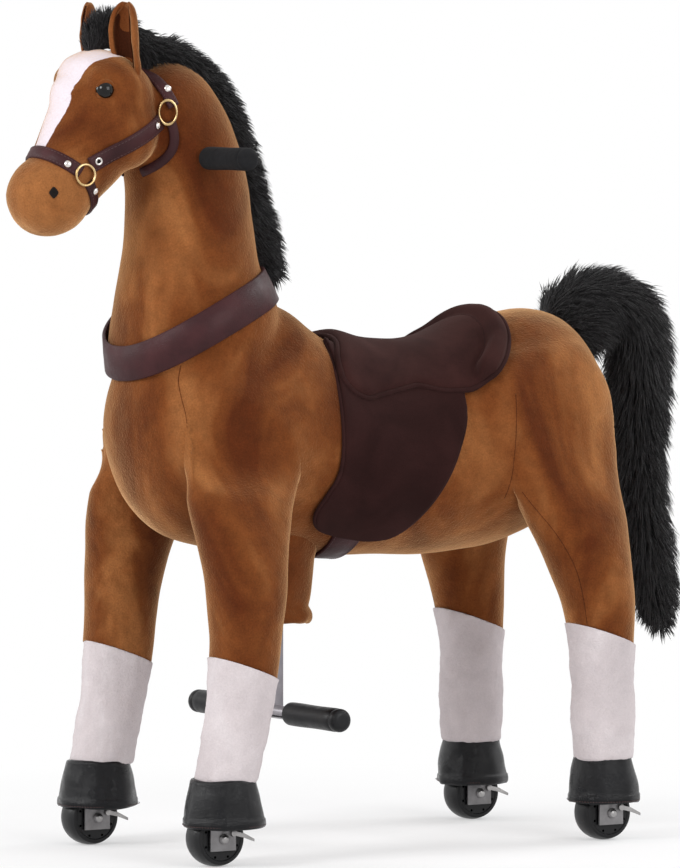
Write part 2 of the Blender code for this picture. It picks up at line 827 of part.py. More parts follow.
def make_drive_link(parent):
    """Flat bar from the front lever's pin to the rear lever's pin, with a slack rear eye."""
    near = LEVER_Y + LEVER_THICKNESS + GAP
    far = near + LINK_THICKNESS
    front = lever_pin_place()
    rear = Vector((REAR_PIVOT_X, 0.0, PIVOT_Z - LEVER_LENGTH))
    heading = (rear - front).normalized()
    square = Vector((-heading.z, 0.0, heading.x)) * (LINK_WIDTH / 2.0)
    outline = [(p.x, p.z) for p in (front + square, front - square, rear - square, rear + square)]
    link = make_object("drive_link", prism(outline, near, far), "steel", parent, False)
    rise = 2.0 * LEVER_LENGTH * (1.0 - math.cos(LEG_SWING))
    for word, place, slack in (("front", front, GAP), ("rear", rear, rise + GAP)):
        radius = LINK_EYE_DIAMETER / 2.0 + slack / 2.0
        eye = rod((place.x, near, place.z), (place.x, far, place.z), radius, 12)
        boolean(link, cutter(f"drive link {word} eye", eye), "UNION")
    for word, place, slack in (("front", front, GAP), ("rear", rear, rise + GAP)):
        radius = LINK_PIN_DIAMETER / 2.0 + slack
        low = (place.x, near - LINK_THICKNESS, place.z)
        high = (place.x, far + LINK_THICKNESS, place.z)
        boolean(link, cutter(f"drive link {word} hole", rod(low, high, radius, 12)))


def make_main_frame(parent):
    """Square spine, pivot tubes on gussets, head tube, seat plate and footrest socket."""
    half = SPINE_SIZE / 2.0
    front = FRONT_PIVOT_X - SPINE_SETBACK
    rear = REAR_PIVOT_X - GUSSET_LENGTH / 2.0
    spine = box((rear, -half, SPINE_Z - half), (front, half, SPINE_Z + half))
    frame = make_object("main_frame", spine, "steel", parent, False)
    for word, x in (("front", FRONT_PIVOT_X), ("rear", REAR_PIVOT_X)):
        gusset = box(
            (x - GUSSET_LENGTH / 2.0, -GUSSET_THICKNESS / 2.0, PIVOT_Z),
            (x + GUSSET_LENGTH / 2.0, GUSSET_THICKNESS / 2.0, SPINE_Z - half + WELD),
        )
        boolean(frame, cutter(f"main frame {word} gusset", gusset), "UNION")
        outer = LEG_TUBE_DIAMETER / 2.0 + GAP + PIVOT_TUBE_WALL
        ends = PIVOT_TUBE_LENGTH / 2.0
        tube = rod((x, -ends, PIVOT_Z), (x, ends, PIVOT_Z), outer, 20)
        boolean(frame, cutter(f"main frame {word} pivot tube", tube), "UNION")
    low = collar_point(-COLLAR_SEAT - HEAD_TUBE_DROP - HEAD_TUBE_LENGTH)
    high = collar_point(-COLLAR_SEAT - HEAD_TUBE_DROP)
    head_tube = rod(low, high, HEAD_TUBE_DIAMETER / 2.0, 20)
    boolean(frame, cutter("main frame head tube", head_tube), "UNION")
    socket_half = POST_SIZE / 2.0 + GAP + POST_SOCKET_WALL
    socket = box(
        (POST_X - socket_half, -socket_half, SPINE_Z - half - POST_SOCKET_LENGTH),
        (POST_X + socket_half, socket_half, SPINE_Z - half + WELD),
    )
    boolean(frame, cutter("main frame post socket", socket), "UNION")
    for word, x in (("front", SEAT_PLATE_X + RISER_OFFSET), ("rear", SEAT_PLATE_X - RISER_OFFSET)):
        riser = box(
            (x - RISER_LENGTH / 2.0, -RISER_WIDTH / 2.0, SPINE_Z + half - WELD),
            (x + RISER_LENGTH / 2.0, RISER_WIDTH / 2.0, SEAT_PLATE_Z + SEAT_PLATE_THICKNESS / 2.0),
        )
        boolean(frame, cutter(f"main frame {word} riser", riser), "UNION")
    long_half = SEAT_PLATE_LENGTH / 2.0
    wide_half = SEAT_PLATE_WIDTH / 2.0
    plate = box(
        (SEAT_PLATE_X - long_half, -wide_half, SEAT_PLATE_Z),
        (SEAT_PLATE_X + long_half, wide_half, SEAT_PLATE_Z + SEAT_PLATE_THICKNESS),
    )
    boolean(frame, cutter("main frame seat plate", plate), "UNION")
    hollow = half - SPINE_WALL
    low = (rear - BEYOND, -hollow, SPINE_Z - hollow)
    inside = box(low, (POST_X - HOLLOW_END, hollow, SPINE_Z + hollow))
    boolean(frame, cutter("main frame spine hollow", inside))
    for word, x in (("front", FRONT_PIVOT_X), ("rear", REAR_PIVOT_X)):
        bore = rod((x, -BEYOND, PIVOT_Z), (x, BEYOND, PIVOT_Z), LEG_TUBE_DIAMETER / 2.0 + GAP, 20)
        boolean(frame, cutter(f"main frame {word} pivot bore", bore))
    bore = rod(collar_point(-BEYOND), collar_point(BEYOND), STEM_DIAMETER / 2.0 + GAP, 20)
    boolean(frame, cutter("main frame head bore", bore), "DIFFERENCE", "MANIFOLD")
    post_half = POST_SIZE / 2.0 + GAP
    post = box(
        (POST_X - post_half, -post_half, SPINE_Z - half - BEYOND),
        (POST_X + post_half, post_half, SPINE_Z - half - POST_STOP),
    )
    boolean(frame, cutter("main frame post hole", post), "DIFFERENCE", "MANIFOLD")


def make_footrest(parent):
    half = POST_SIZE / 2.0
    top = SPINE_Z - SPINE_SIZE / 2.0 - POST_STOP - GAP
    post = box((POST_X - half, -half, PEG_BAR_Z - POST_FOOT), (POST_X + half, half, top))
    frame = make_object("footrest_frame", post, "steel", parent, False)
    reach = PEG_GRIP_START + PEG_GRIP_LENGTH - PEG_GRIP_CAP - GAP
    low = (POST_X, -reach, PEG_BAR_Z)
    high = (POST_X, reach, PEG_BAR_Z)
    bar = rod(low, high, PEG_BAR_DIAMETER / 2.0, 16)
    boolean(frame, cutter("footrest bar", bar), "UNION")
    for word, side in SIDES.items():
        start = (POST_X, side * PEG_GRIP_START, PEG_BAR_Z)
        sizes = (PEG_BAR_DIAMETER / 2.0 + GAP, PEG_GRIP_DIAMETER / 2.0, PEG_GRIP_LENGTH, PEG_GRIP_CAP)
        make_grip(f"footrest_grip_{word}", start, side, sizes, parent)


def make_grip(name, start, side, sizes, parent):
    """Rubber grip: a tube with a closed outer end and rounded edges."""
    bore, radius, length, cap = sizes
    edge = radius * GRIP_EDGE
    profile = (
        (bore, 0.0),
        (radius - edge, 0.0),
        (radius, edge),
        (radius, length - edge),
        (radius - edge, length),
        (0.0, length),
        (0.0, length - cap),
        (bore, length - cap),
    )
    make_object(name, turned_grip(profile, Vector(start), side), "rubber", parent)


def turned_grip(profile, start, side, points=12):
    """Turned solid that opens at its start and is closed by its cap."""
    bm = bmesh.new()
    rings = []
    for radius, along in profile:
        place = start + Vector((0.0, side * along, 0.0))
        if radius == 0.0:
            rings.append([bm.verts.new(place)])
            continue
        ring = []
        for index in range(points):
            angle = 2.0 * math.pi * (index + 0.5) / points
            spot = Vector((math.cos(angle), 0.0, math.sin(angle))) * radius
            ring.append(bm.verts.new(place + spot))
        rings.append(ring)
    order = list(zip(rings, rings[1:])) + [(rings[-1], rings[0])]
    for ring, following in order:
        if len(ring) == 1 and len(following) == 1:
            continue
        for index in range(points):
            after = (index + 1) % points
            corners = [ring[index % len(ring)], ring[after % len(ring)]]
            corners += [following[after % len(following)], following[index % len(following)]]
            bm.faces.new(list(dict.fromkeys(corners)))
    return bm


def stem_path(top_z):
    """Middle line of the stem: up the steering axis, then upright to the handlebar."""
    foot = collar_point(-COLLAR_SEAT - HEAD_TUBE_DROP - HEAD_TUBE_LENGTH)
    bend = collar_point(STEM_BEND)
    corners = (foot, bend, (HANDLEBAR_X, 0.0, STEM_UPRIGHT_Z), (HANDLEBAR_X, 0.0, top_z))
    return rounded_path(corners, BEND_RADIUS)


def make_steering(parent):
    """Bent steering stem with the handlebar welded across its top."""
    tube = bent_tube(stem_path(HANDLEBAR_Z), STEM_DIAMETER / 2.0, 12)
    stem = make_object("steering_stem", tube, "steel", parent)
    reach = HANDLEBAR_GRIP_START + HANDLEBAR_GRIP_LENGTH - HANDLEBAR_GRIP_CAP - GAP
    boolean(stem, cutter("handlebar tube", handlebar_rod(reach, HANDLEBAR_DIAMETER / 2.0)), "UNION")
    bore = HANDLEBAR_DIAMETER / 2.0 + GAP
    sizes = (bore, HANDLEBAR_GRIP_DIAMETER / 2.0, HANDLEBAR_GRIP_LENGTH, HANDLEBAR_GRIP_CAP)
    for word, side in SIDES.items():
        start = (HANDLEBAR_X, side * HANDLEBAR_GRIP_START, HANDLEBAR_Z)
        make_grip(f"handlebar_grip_{word}", start, side, sizes, parent)


def handlebar_rod(reach, radius):
    low = (HANDLEBAR_X, -reach, HANDLEBAR_Z)
    high = (HANDLEBAR_X, reach, HANDLEBAR_Z)
    return rod(low, high, radius, 16)


def swing_pocket(front, side):
    """Room in the torso's side for a limb, from rest to the end of its swing."""
    rows = limb_rows(front, side)[:5]
    pivot_x = FRONT_PIVOT_X if front else REAR_PIVOT_X
    way = 1.0 if front else -1.0
    resting = []
    swung = []
    for x, _, z, _, depth, _ in rows:
        resting.append((x - way * (depth + POCKET_CLEARANCE), z))
        edge = x + way * (depth + POCKET_CLEARANCE) - pivot_x
        down = PIVOT_Z - z
        turned_x = edge * math.cos(LEG_SWING) + way * down * math.sin(LEG_SWING)
        turned_z = PIVOT_Z - down * math.cos(LEG_SWING) + way * edge * math.sin(LEG_SWING)
        swung.append((pivot_x + turned_x, turned_z))
    outline = resting + list(reversed(swung))
    low, high = sorted((side * (JOINT_DISC_INNER_Y + POCKET_STEP), side * BEYOND))
    return prism(outline, low, high)


def make_torso(parent):
    torso = make_object("torso_plush", loft(body_rows(), points=BODY_POINTS), "plush", parent)
    base = middle_rows(NECK_SECTIONS)[0]
    rise = collar_normal() * STUMP_RISE
    over = (base[0] + rise.x, 0.0, base[2] + rise.z, *base[3:])
    stump = loft([STUMP_FOOT, base, over])
    boolean(torso, cutter("torso neck stump", stump), "UNION", "MANIFOLD")
    above = collar_slab(-COLLAR_SEAT - STEERING_GAP, BEYOND)
    boolean(torso, cutter("torso top plane", above), "DIFFERENCE", "MANIFOLD")
    cavity = box(
        (REAR_PIVOT_X - CAVITY_MARGIN, -CAVITY_HALF_WIDTH, CAVITY_BOTTOM_Z),
        (FRONT_PIVOT_X + CAVITY_MARGIN, CAVITY_HALF_WIDTH, CAVITY_TOP_Z),
    )
    boolean(torso, cutter("torso cavity", cavity), "DIFFERENCE", "MANIFOLD")
    rear_room = REAR_PIVOT_X - CAVITY_MARGIN + LEVER_ROOM_MARGIN
    rear_lever = box(
        (rear_room, LEVER_Y - LEVER_ROOM_MARGIN * 2.0, PIVOT_Z - LEVER_LENGTH - LEVER_WIDTH),
        (rear_room + LEVER_ROOM_LENGTH, CAVITY_HALF_WIDTH - LEVER_ROOM_MARGIN, PIVOT_Z),
    )
    boolean(torso, cutter("torso rear lever room", rear_lever), "DIFFERENCE", "MANIFOLD")
    for end, x, front in (("front", FRONT_PIVOT_X, True), ("rear", REAR_PIVOT_X, False)):
        for word, side in SIDES.items():
            disc = rod(
                (x, side * (JOINT_DISC_INNER_Y - GAP), PIVOT_Z),
                (x, side * BEYOND, PIVOT_Z),
                JOINT_DISC_RADIUS + POCKET_CLEARANCE,
                JOINT_DISC_POINTS,
            )
            boolean(torso, cutter(f"torso {end} {word} pocket", disc), "DIFFERENCE", "MANIFOLD")
            swing = cutter(f"torso {end} {word} swing", swing_pocket(front, side))
            boolean(torso, swing, "DIFFERENCE", "MANIFOLD")
        shaft = LEG_TUBE_DIAMETER / 2.0 + CHANNEL_LOOSE
        hole = rod((x, -JOINT_DISC_OUTER_Y, PIVOT_Z), (x, JOINT_DISC_OUTER_Y, PIVOT_Z), shaft, 16)
        boolean(torso, cutter(f"torso {end} shaft hole", hole), "DIFFERENCE", "MANIFOLD")
    post = POST_SIZE / 2.0 + POST_ROOM
    slot = box((POST_X - post, -post, SLEEVE_BOTTOM_Z), (POST_X + post, post, PIVOT_Z))
    boolean(torso, cutter("torso post slot", slot), "DIFFERENCE", "MANIFOLD")
    deep = collar_point(-COLLAR_SEAT - HEAD_TUBE_DROP - HEAD_TUBE_LENGTH * 2.0)
    bore = rod(deep, collar_point(COLLAR_WIDTH), HEAD_TUBE_DIAMETER / 2.0 + WELD, 20)
    boolean(torso, cutter("torso head tube hole", bore), "DIFFERENCE", "MANIFOLD")


def make_limb(front, word, side, parent):
    """Leg plush, sock and boot of one leg."""
    end = "front" if front else "rear"
    rows = limb_rows(front, side)
    pivot_x = FRONT_PIVOT_X if front else REAR_PIVOT_X
    sock_top = FRONT_SOCK_TOP_Z if front else REAR_SOCK_TOP_Z
    slope = FRONT_SOCK_SLOPE if front else REAR_SOCK_SLOPE
    bore = bent_tube(leg_tube_path(front), LEG_TUBE_DIAMETER / 2.0 + GAP)
    channel = cutter(f"{end} {word} leg channel", bore)

    disc_depth = JOINT_DISC_OUTER_Y - JOINT_DISC_INNER_Y
    profile = [(JOINT_DISC_RADIUS * r, disc_depth * h) for r, h in JOINT_DISC_PROFILE]
    centre = (pivot_x, side * JOINT_DISC_INNER_Y, PIVOT_Z)
    disc = turned(profile, centre, (0.0, side, 0.0), JOINT_DISC_POINTS)
    leg = make_object(f"{end}_leg_plush_{word}", disc, "plush", parent)
    limb = cutter(f"{end} {word} limb", loft(rows, points=LIMB_POINTS))
    boolean(leg, limb, "UNION")
    shin = rows[5]
    edge = TRACK / 2.0 - GAP

    def slanted(low, high):
        outline = (
            (shin[0] - edge, sock_top - slope * edge + low),
            (shin[0] + edge, sock_top + slope * edge + low),
            (shin[0] + edge, sock_top + slope * edge + high),
            (shin[0] - edge, sock_top - slope * edge + high),
        )
        return prism(outline, side * TRACK / 2.0 - edge, side * TRACK / 2.0 + edge)

    boolean(leg, cutter(f"{end} {word} leg end", slanted(-PIVOT_Z, 0.0)))
    boolean(leg, channel)

    sock_rows = rows[4:]
    sock_rows[-1] = (*sock_rows[-1][:2], BOOT_TOP_Z + GAP, *sock_rows[-1][3:])
    sock = make_object(f"{end}_sock_{word}", loft(sock_rows, points=LIMB_POINTS), "sock", parent)
    boolean(sock, cutter(f"{end} {word} sock top", slanted(-GAP, PIVOT_Z)))
    boolean(sock, channel)

    top = FRONT_BOOT_TOP_RADIUS if front else REAR_BOOT_TOP_RADIUS
    bottom = FRONT_BOOT_BOTTOM_RADIUS if front else REAR_BOOT_BOTTOM_RADIUS
    x = FRONT_AXLE_X - FRONT_BOOT_SETBACK if front else REAR_AXLE_X - REAR_BOOT_SETBACK
    profile = (
        (0.0, BOOT_TOP_Z),
        (top, BOOT_TOP_Z),
        (bottom - BOOT_WALL / 2.0, BOOT_BOTTOM_Z + BOOT_HEM),
        (bottom, BOOT_BOTTOM_Z),
        (bottom - BOOT_WALL, BOOT_BOTTOM_Z),
        (top - BOOT_WALL, BOOT_TOP_Z - BOOT_WALL),
        (0.0, BOOT_TOP_Z - BOOT_WALL),
    )
    shell = turned(profile, (x, side * TRACK / 2.0, 0.0), (0.0, 0.0, 1.0), 18)
    boot = make_object(f"{end}_boot_{word}", shell, "vinyl", parent)
    boolean(boot, channel)


def make_neck_and_head(parent):
    neck = make_object("neck_plush", loft(middle_rows(NECK_SECTIONS)), "plush", parent)
    boolean(neck, cutter("neck base plane", collar_slab(-BEYOND, -COLLAR_SEAT)))
    grown_head = cutter("head room", loft(middle_rows(HEAD_SECTIONS), grow=GAP))
    boolean(neck, grown_head)
    channel = bent_tube(stem_path(HANDLEBAR_Z + STEM_ROOM), STEM_DIAMETER / 2.0 + GAP, 12)
    boolean(neck, cutter("neck stem channel", channel))
    reach = HANDLEBAR_GRIP_START + HANDLEBAR_GRIP_LENGTH
    boolean(neck, cutter("neck bar hole", handlebar_rod(reach, HANDLEBAR_DIAMETER / 2.0 + GAP)))

    make_object("head_plush", loft(middle_rows(HEAD_SECTIONS)), "plush", parent)

    for word, side in SIDES.items():
        ear = make_object(f"ear_{word}", loft(ear_sections(side), steps=2, points=10), "plush", parent)
        boolean(ear, grown_head)
        eye = make_object(
            f"eye_{word}",
            turned(ball_profile(EYE_RADIUS, 5), (EYE_X, side * EYE_Y, EYE_Z), (0.35, side, 0.1), 12),
            "eye",
            parent,
        )
        boolean(eye, grown_head)

    mane = make_object("mane", loft(middle_rows(MANE_SECTIONS), points=12), "hair", parent)
    boolean(mane, grown_head)
    grown_neck = cutter("neck room", loft(middle_rows(NECK_SECTIONS), grow=GAP))
    boolean(mane, grown_neck)
    boolean(mane, cutter("collar room", collar_slab(-BEYOND, COLLAR_WIDTH - COLLAR_SEAT + GAP)))
    make_bridle(parent, (grown_head, grown_neck), mane)
    for word, side in SIDES.items():
        boolean(mane, cutter(f"ear {word} room", loft(ear_sections(side, GAP), steps=2, points=10)))


def ear_sections(side, grow=0.0):
    tall = EAR_TIP_Z - EAR_BASE_Z
    return [
        (
            EAR_X + x,
            side * (EAR_Y + y),
            EAR_BASE_Z + tall * up,
            0.0,
            EAR_DEPTH * depth + grow,
            EAR_WIDTH * width + grow,
        )
        for x, y, up, depth, width in EAR_SECTIONS
    ]


def ball_profile(radius, steps):
    rows = []
    for step in range(steps + 1):
        angle = math.pi * step / steps - math.pi / 2.0
        rows.append((max(radius * math.cos(angle), 0.0), radius * math.sin(angle)))
    rows[0] = (0.0, -radius)
    rows[-1] = (0.0, radius)
    return rows


def make_collar(parent):
    """Leather band round the foot of the neck."""
    rows = middle_rows(NECK_SECTIONS)[:4]
    band = make_object("collar_strap", loft(rows, grow=GAP + COLLAR_THICKNESS), "leather", parent)
    low = -COLLAR_SEAT
    boolean(band, cutter("collar band", collar_slab(low, low + COLLAR_WIDTH)), "INTERSECT")
    boolean(band, cutter("collar inside", loft(rows, grow=GAP)))


def tilted_slab(x, z, lean, half):
    """Block square to a direction in the middle plane that leans from straight up."""
    bm = box((-BEYOND, -BEYOND, -half), (BEYOND, BEYOND, half))
    turn = Matrix.Rotation(lean, 4, "Y")
    bmesh.ops.transform(bm, matrix=Matrix.Translation((x, 0.0, z)) @ turn, verts=bm.verts)
    return bm


def tack_shell(name, parent, rooms, shape):
    """Strap of a given side shape that hugs the head and the top of the neck."""
    outer = GAP + STRAP_THICKNESS
    skin = make_object(name, loft(middle_rows(HEAD_SECTIONS), grow=outer), "leather", parent)
    neck = cutter(f"{name} over the neck", loft(middle_rows(NECK_SECTIONS)[3:], grow=outer))
    boolean(skin, neck, "UNION", "MANIFOLD")
    boolean(skin, cutter(f"{name} shape", shape), "INTERSECT", "MANIFOLD")
    for room in rooms:
        boolean(skin, room, "DIFFERENCE", "MANIFOLD")
    return skin


def make_bridle(parent, rooms, mane):
    """Noseband, crown strap, and a cheek strap and two rings on each side."""
    head_lean = math.radians(180.0 - HEAD_LEAN)
    half = STRAP_WIDTH / 2.0
    slab = tilted_slab(NOSEBAND_X, NOSEBAND_Z, head_lean, half)
    noseband = make_object(
        "noseband",
        loft(middle_rows(HEAD_SECTIONS), grow=GAP + STRAP_THICKNESS),
        "leather",
        parent,
    )
    boolean(noseband, cutter("noseband shape", slab), "INTERSECT")
    boolean(noseband, rooms[0])
    crown = strap_outline((UPPER_RING_X, UPPER_RING_Z), (CROWN_X, CROWN_Z), half)
    tack_shell("crown_strap", parent, rooms, prism(crown, -BEYOND, BEYOND))
    around = grown_outline(crown, GAP)
    groove = cutter("mane groove", prism(around, -BEYOND, BEYOND))
    swell = STRAP_THICKNESS + GAP * 2.0
    swollen = cutter("mane groove depth", loft(middle_rows(NECK_SECTIONS)[3:], grow=swell))
    swollen_head = cutter("mane groove depth over the head", loft(middle_rows(HEAD_SECTIONS), grow=swell))
    boolean(swollen, swollen_head, "UNION", "MANIFOLD")
    boolean(groove, swollen, "INTERSECT", "MANIFOLD")
    boolean(mane, groove)
    nose_room = cutter("noseband room", tilted_slab(NOSEBAND_X, NOSEBAND_Z, head_lean, half + GAP))
    crown_room = cutter("crown strap room", prism(around, -BEYOND, BEYOND))
    outline = strap_outline((LOWER_RING_X, LOWER_RING_Z), (UPPER_RING_X, UPPER_RING_Z), half)
    for word, side in SIDES.items():
        low_y, high_y = sorted((side * STRAP_WIDTH, side * BEYOND))
        strap = tack_shell(f"cheek_strap_{word}", parent, rooms, prism(outline, low_y, high_y))
        boolean(strap, nose_room, "DIFFERENCE", "MANIFOLD")
        boolean(strap, crown_room, "DIFFERENCE", "MANIFOLD")
        rings = (
            ("lower", LOWER_RING_X, LOWER_RING_Y, LOWER_RING_Z, LOWER_RING_RADIUS),
            ("upper", UPPER_RING_X, UPPER_RING_Y, UPPER_RING_Z, UPPER_RING_RADIUS),
        )
        for level, x, y, z, radius in rings:
            centre = Vector((x, side * y, z))
            make_object(f"{level}_ring_{word}", ring_shape(centre, radius), "brass", parent)


def strap_outline(start, end, half):
    """Straight strap seen from the side, between two points of x and z."""
    start = Vector(start)
    end = Vector(end)
    heading = (end - start).normalized()
    square = Vector((-heading.y, heading.x)) * half
    return [tuple(p) for p in (start + square, start - square, end - square, end + square)]


def ring_shape(centre, radius, around=16, across=4):
    """Ring of round wire that lies along the horse's side."""
    wire = RING_WIRE / 2.0
    bm = bmesh.new()
    rings = []
    for index in range(around):
        angle = 2.0 * math.pi * index / around
        out = Vector((math.cos(angle), 0.0, math.sin(angle)))
        ring = []
        for count in range(across):
            turn = 2.0 * math.pi * (count + 0.5) / across
            offset = out * math.cos(turn) * wire + Vector((0.0, wire * math.sin(turn), 0.0))
            ring.append(bm.verts.new(centre + out * radius + offset))
        rings.append(ring)
    for index in range(around):
        following = rings[(index + 1) % around]
        for count in range(across):
            after = (count + 1) % across
            bm.faces.new((rings[index][count], rings[index][after], following[after], following[count]))
    return bm


def torso_shell(name, look, thickness, clearance, shape, parent):
    """Skin over the torso, cut to a shape that passes across the body."""
    bm = loft(body_rows(), grow=clearance + thickness, points=BODY_POINTS)
    shell = make_object(name, bm, look, parent)
    boolean(shell, cutter(f"{name} shape", shape), "INTERSECT")
    room = loft(body_rows(), grow=clearance, points=BODY_POINTS)
    boolean(shell, cutter(f"{name} inside", room))
    return shell


def grown_outline(outline, grow):
    """Each side of a closed outline moved out by the same distance."""
    count = len(outline)
    area = sum(a[0] * b[1] - b[0] * a[1] for a, b in zip(outline, outline[1:] + outline[:1]))
    way = 1.0 if area > 0.0 else -1.0
    moved = []
    for index in range(count):
        before = Vector(outline[index - 1])
        here = Vector(outline[index])
        after = Vector(outline[(index + 1) % count])
        first = (here - before).normalized()
        second = (after - here).normalized()
        square = Vector((first.y + second.y, -first.x - second.x)).normalized() * way
        stretch = max(square.dot(Vector((first.y, -first.x)) * way), 0.3)
        moved.append(tuple(here + square * grow / stretch))
    return moved


def make_saddle(parent):
    """Cloth with flaps, the padded seat with its cantle, and the girth under the belly."""
    flaps = prism(FLAP_OUTLINE, -BEYOND, BEYOND)
    torso_shell("saddle_cloth", "suede", CLOTH_THICKNESS, GAP, flaps, parent)

    under = GAP * 2.0 + CLOTH_THICKNESS
    bm = loft(body_rows(), grow=under + SEAT_THICKNESS, points=BODY_POINTS)
    seat = make_object("saddle_seat", bm, "suede", parent)
    rows = []
    for step in range(CANTLE_STEPS):
        angle = math.pi * (step + 0.5) / CANTLE_STEPS
        size = math.sin(angle)
        x = CANTLE_X - math.cos(angle) * CANTLE_LENGTH / 2.0
        rows.append((x, 0.0, CANTLE_Z, 90.0, CANTLE_HEIGHT * size, CANTLE_HALF_WIDTH * size))
    boolean(seat, cutter("cantle", loft(rows, points=BODY_POINTS)), "UNION")
    room = loft(body_rows(), grow=under, points=BODY_POINTS)
    boolean(seat, cutter("seat room", room))
    boolean(seat, cutter("seat outline", prism(SEAT_OUTLINE, -BEYOND, BEYOND)), "INTERSECT")

    half = GIRTH_WIDTH / 2.0
    band = box((GIRTH_X - half, -BEYOND, 0.0), (GIRTH_X + half, BEYOND, GIRTH_TOP_Z))
    girth = torso_shell("girth_strap", "leather", GIRTH_THICKNESS, GAP, band, parent)
    boolean(girth, cutter("girth end", prism(grown_outline(FLAP_OUTLINE, GAP), -BEYOND, BEYOND)))


def make_sleeve(parent):
    """Plush sleeve that hangs from the belly round the footrest post, open below."""
    middle = (SLEEVE_BOTTOM_Z + SLEEVE_TOP_Z) / 2.0
    waist = (SLEEVE_BOTTOM_RADIUS + SLEEVE_TOP_RADIUS) / 2.0 - SLEEVE_WAIST
    rows = []
    for rise, radius in (
        (0.0, SLEEVE_BOTTOM_RADIUS - SLEEVE_HEM * 0.5),
        (SLEEVE_HEM * 0.6, SLEEVE_BOTTOM_RADIUS),
        (SLEEVE_HEM * 1.5, SLEEVE_BOTTOM_RADIUS - SLEEVE_WAIST * 0.5),
        (middle - SLEEVE_BOTTOM_Z, waist),
        (SLEEVE_TOP_Z + SLEEVE_INSIDE - SLEEVE_BOTTOM_Z, SLEEVE_TOP_RADIUS),
    ):
        rows.append((POST_X, 0.0, SLEEVE_BOTTOM_Z + rise, 0.0, radius, radius))
    sleeve = make_object("footrest_sleeve", loft(rows), "plush", parent)
    inner = []
    for z, radius in (
        (SLEEVE_BOTTOM_Z - SLEEVE_HEM, SLEEVE_BOTTOM_RADIUS),
        (middle, waist),
        (SLEEVE_TOP_Z + SLEEVE_INSIDE * 2.0, SLEEVE_TOP_RADIUS),
    ):
        inner.append((POST_X, 0.0, z, 0.0, radius - SLEEVE_WALL, radius - SLEEVE_WALL))
    boolean(sleeve, cutter("sleeve hollow", loft(inner)))
    room = loft(body_rows(), grow=GAP, points=BODY_POINTS)
    boolean(sleeve, cutter("sleeve room", room))


def make_return_spring(name, front, parent):
    """Torsion spring round a pivot tube, with one arm up to the spine and one by the lever."""
    x = FRONT_PIVOT_X if front else REAR_PIVOT_X
    wire = SPRING_WIRE / 2.0
    inner = LEG_TUBE_DIAMETER / 2.0 + GAP + PIVOT_TUBE_WALL + GAP
    radius = inner + wire + SPRING_LOOSE
    path = [Vector((x + radius, SPRING_START_Y, SPINE_Z - SPINE_SIZE / 2.0 - wire - GAP))]
    for step in range(SPRING_TURNS * TURN_POINTS + 1):
        angle = 2.0 * math.pi * step / TURN_POINTS
        y = SPRING_START_Y + SPRING_PITCH * step / TURN_POINTS
        path.append(Vector((x + radius * math.cos(angle), y, PIVOT_Z - radius * math.sin(angle))))
    last = path[-1]
    path.append(Vector((last.x, last.y + SPRING_PITCH / TURN_POINTS, PIVOT_Z - SPRING_ARM)))
    make_object(name, bent_tube(path, wire, 5), "bright", parent)


def clear_scene():
    for thing in list(bpy.data.objects):
        bpy.data.objects.remove(thing)


def main():
    clear_scene()
    root = empty("frame", (0.0, 0.0, 0.0))
    steer = empty_under("neck", collar_point(-COLLAR_SEAT), root)
    ends = (
        ("front", True, FRONT_PIVOT_X, FRONT_AXLE_X),
        ("rear", False, REAR_PIVOT_X, REAR_AXLE_X),
    )
    make_main_frame(root)
    make_footrest(root)
    make_steering(steer)
    make_torso(root)
    make_neck_and_head(steer)
    make_collar(steer)
    make_saddle(root)
    make_sleeve(root)
    make_return_spring("front_return_spring", True, root)
    make_return_spring("rear_return_spring", False, root)
    tail = make_object("tail", loft(middle_rows(TAIL_SECTIONS), points=12), "hair", root)
    boolean(tail, cutter("tail room", loft(body_rows(), grow=GAP, points=BODY_POINTS)))
    for end, front, pivot_x, axle_x in ends:
        legs = empty_under(f"{end} legs", (pivot_x, 0.0, PIVOT_Z), root)
        make_leg_frame(f"{end}_leg_frame", front, legs)
        for word, side in SIDES.items():
            make_limb(front, word, side, legs)
            centre = Vector((axle_x, side * TRACK / 2.0, wheel_centre_z()))
            carrier = legs
            if front:
                kingpin = (axle_x - KINGPIN_SETBACK, centre.y, fork_top_z())
                carrier = empty_under(f"{end} {word} kingpin", kingpin, legs)
            make_fork(f"{end}_fork_{word}", centre, front, carrier)
            make_wheel(f"{end}_wheel_{word}", centre, empty_under(f"{end} {word} axle", centre, carrier))
            pin = empty_under(f"{end} {word} pawl pin", pawl_pin_place(centre), carrier)
            make_pawl(f"{end}_pawl_{word}", centre, pin)
        if front:
            make_drive_link(empty_under("lever pin", lever_pin_place(), legs))


main()
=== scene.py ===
"""Looks of the walking ride-on horse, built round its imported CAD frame. Units are metres."""

import math

import bmesh
import bpy
import numpy as np
from mathutils import Matrix, Vector, noise
from mathutils.bvhtree import BVHTree


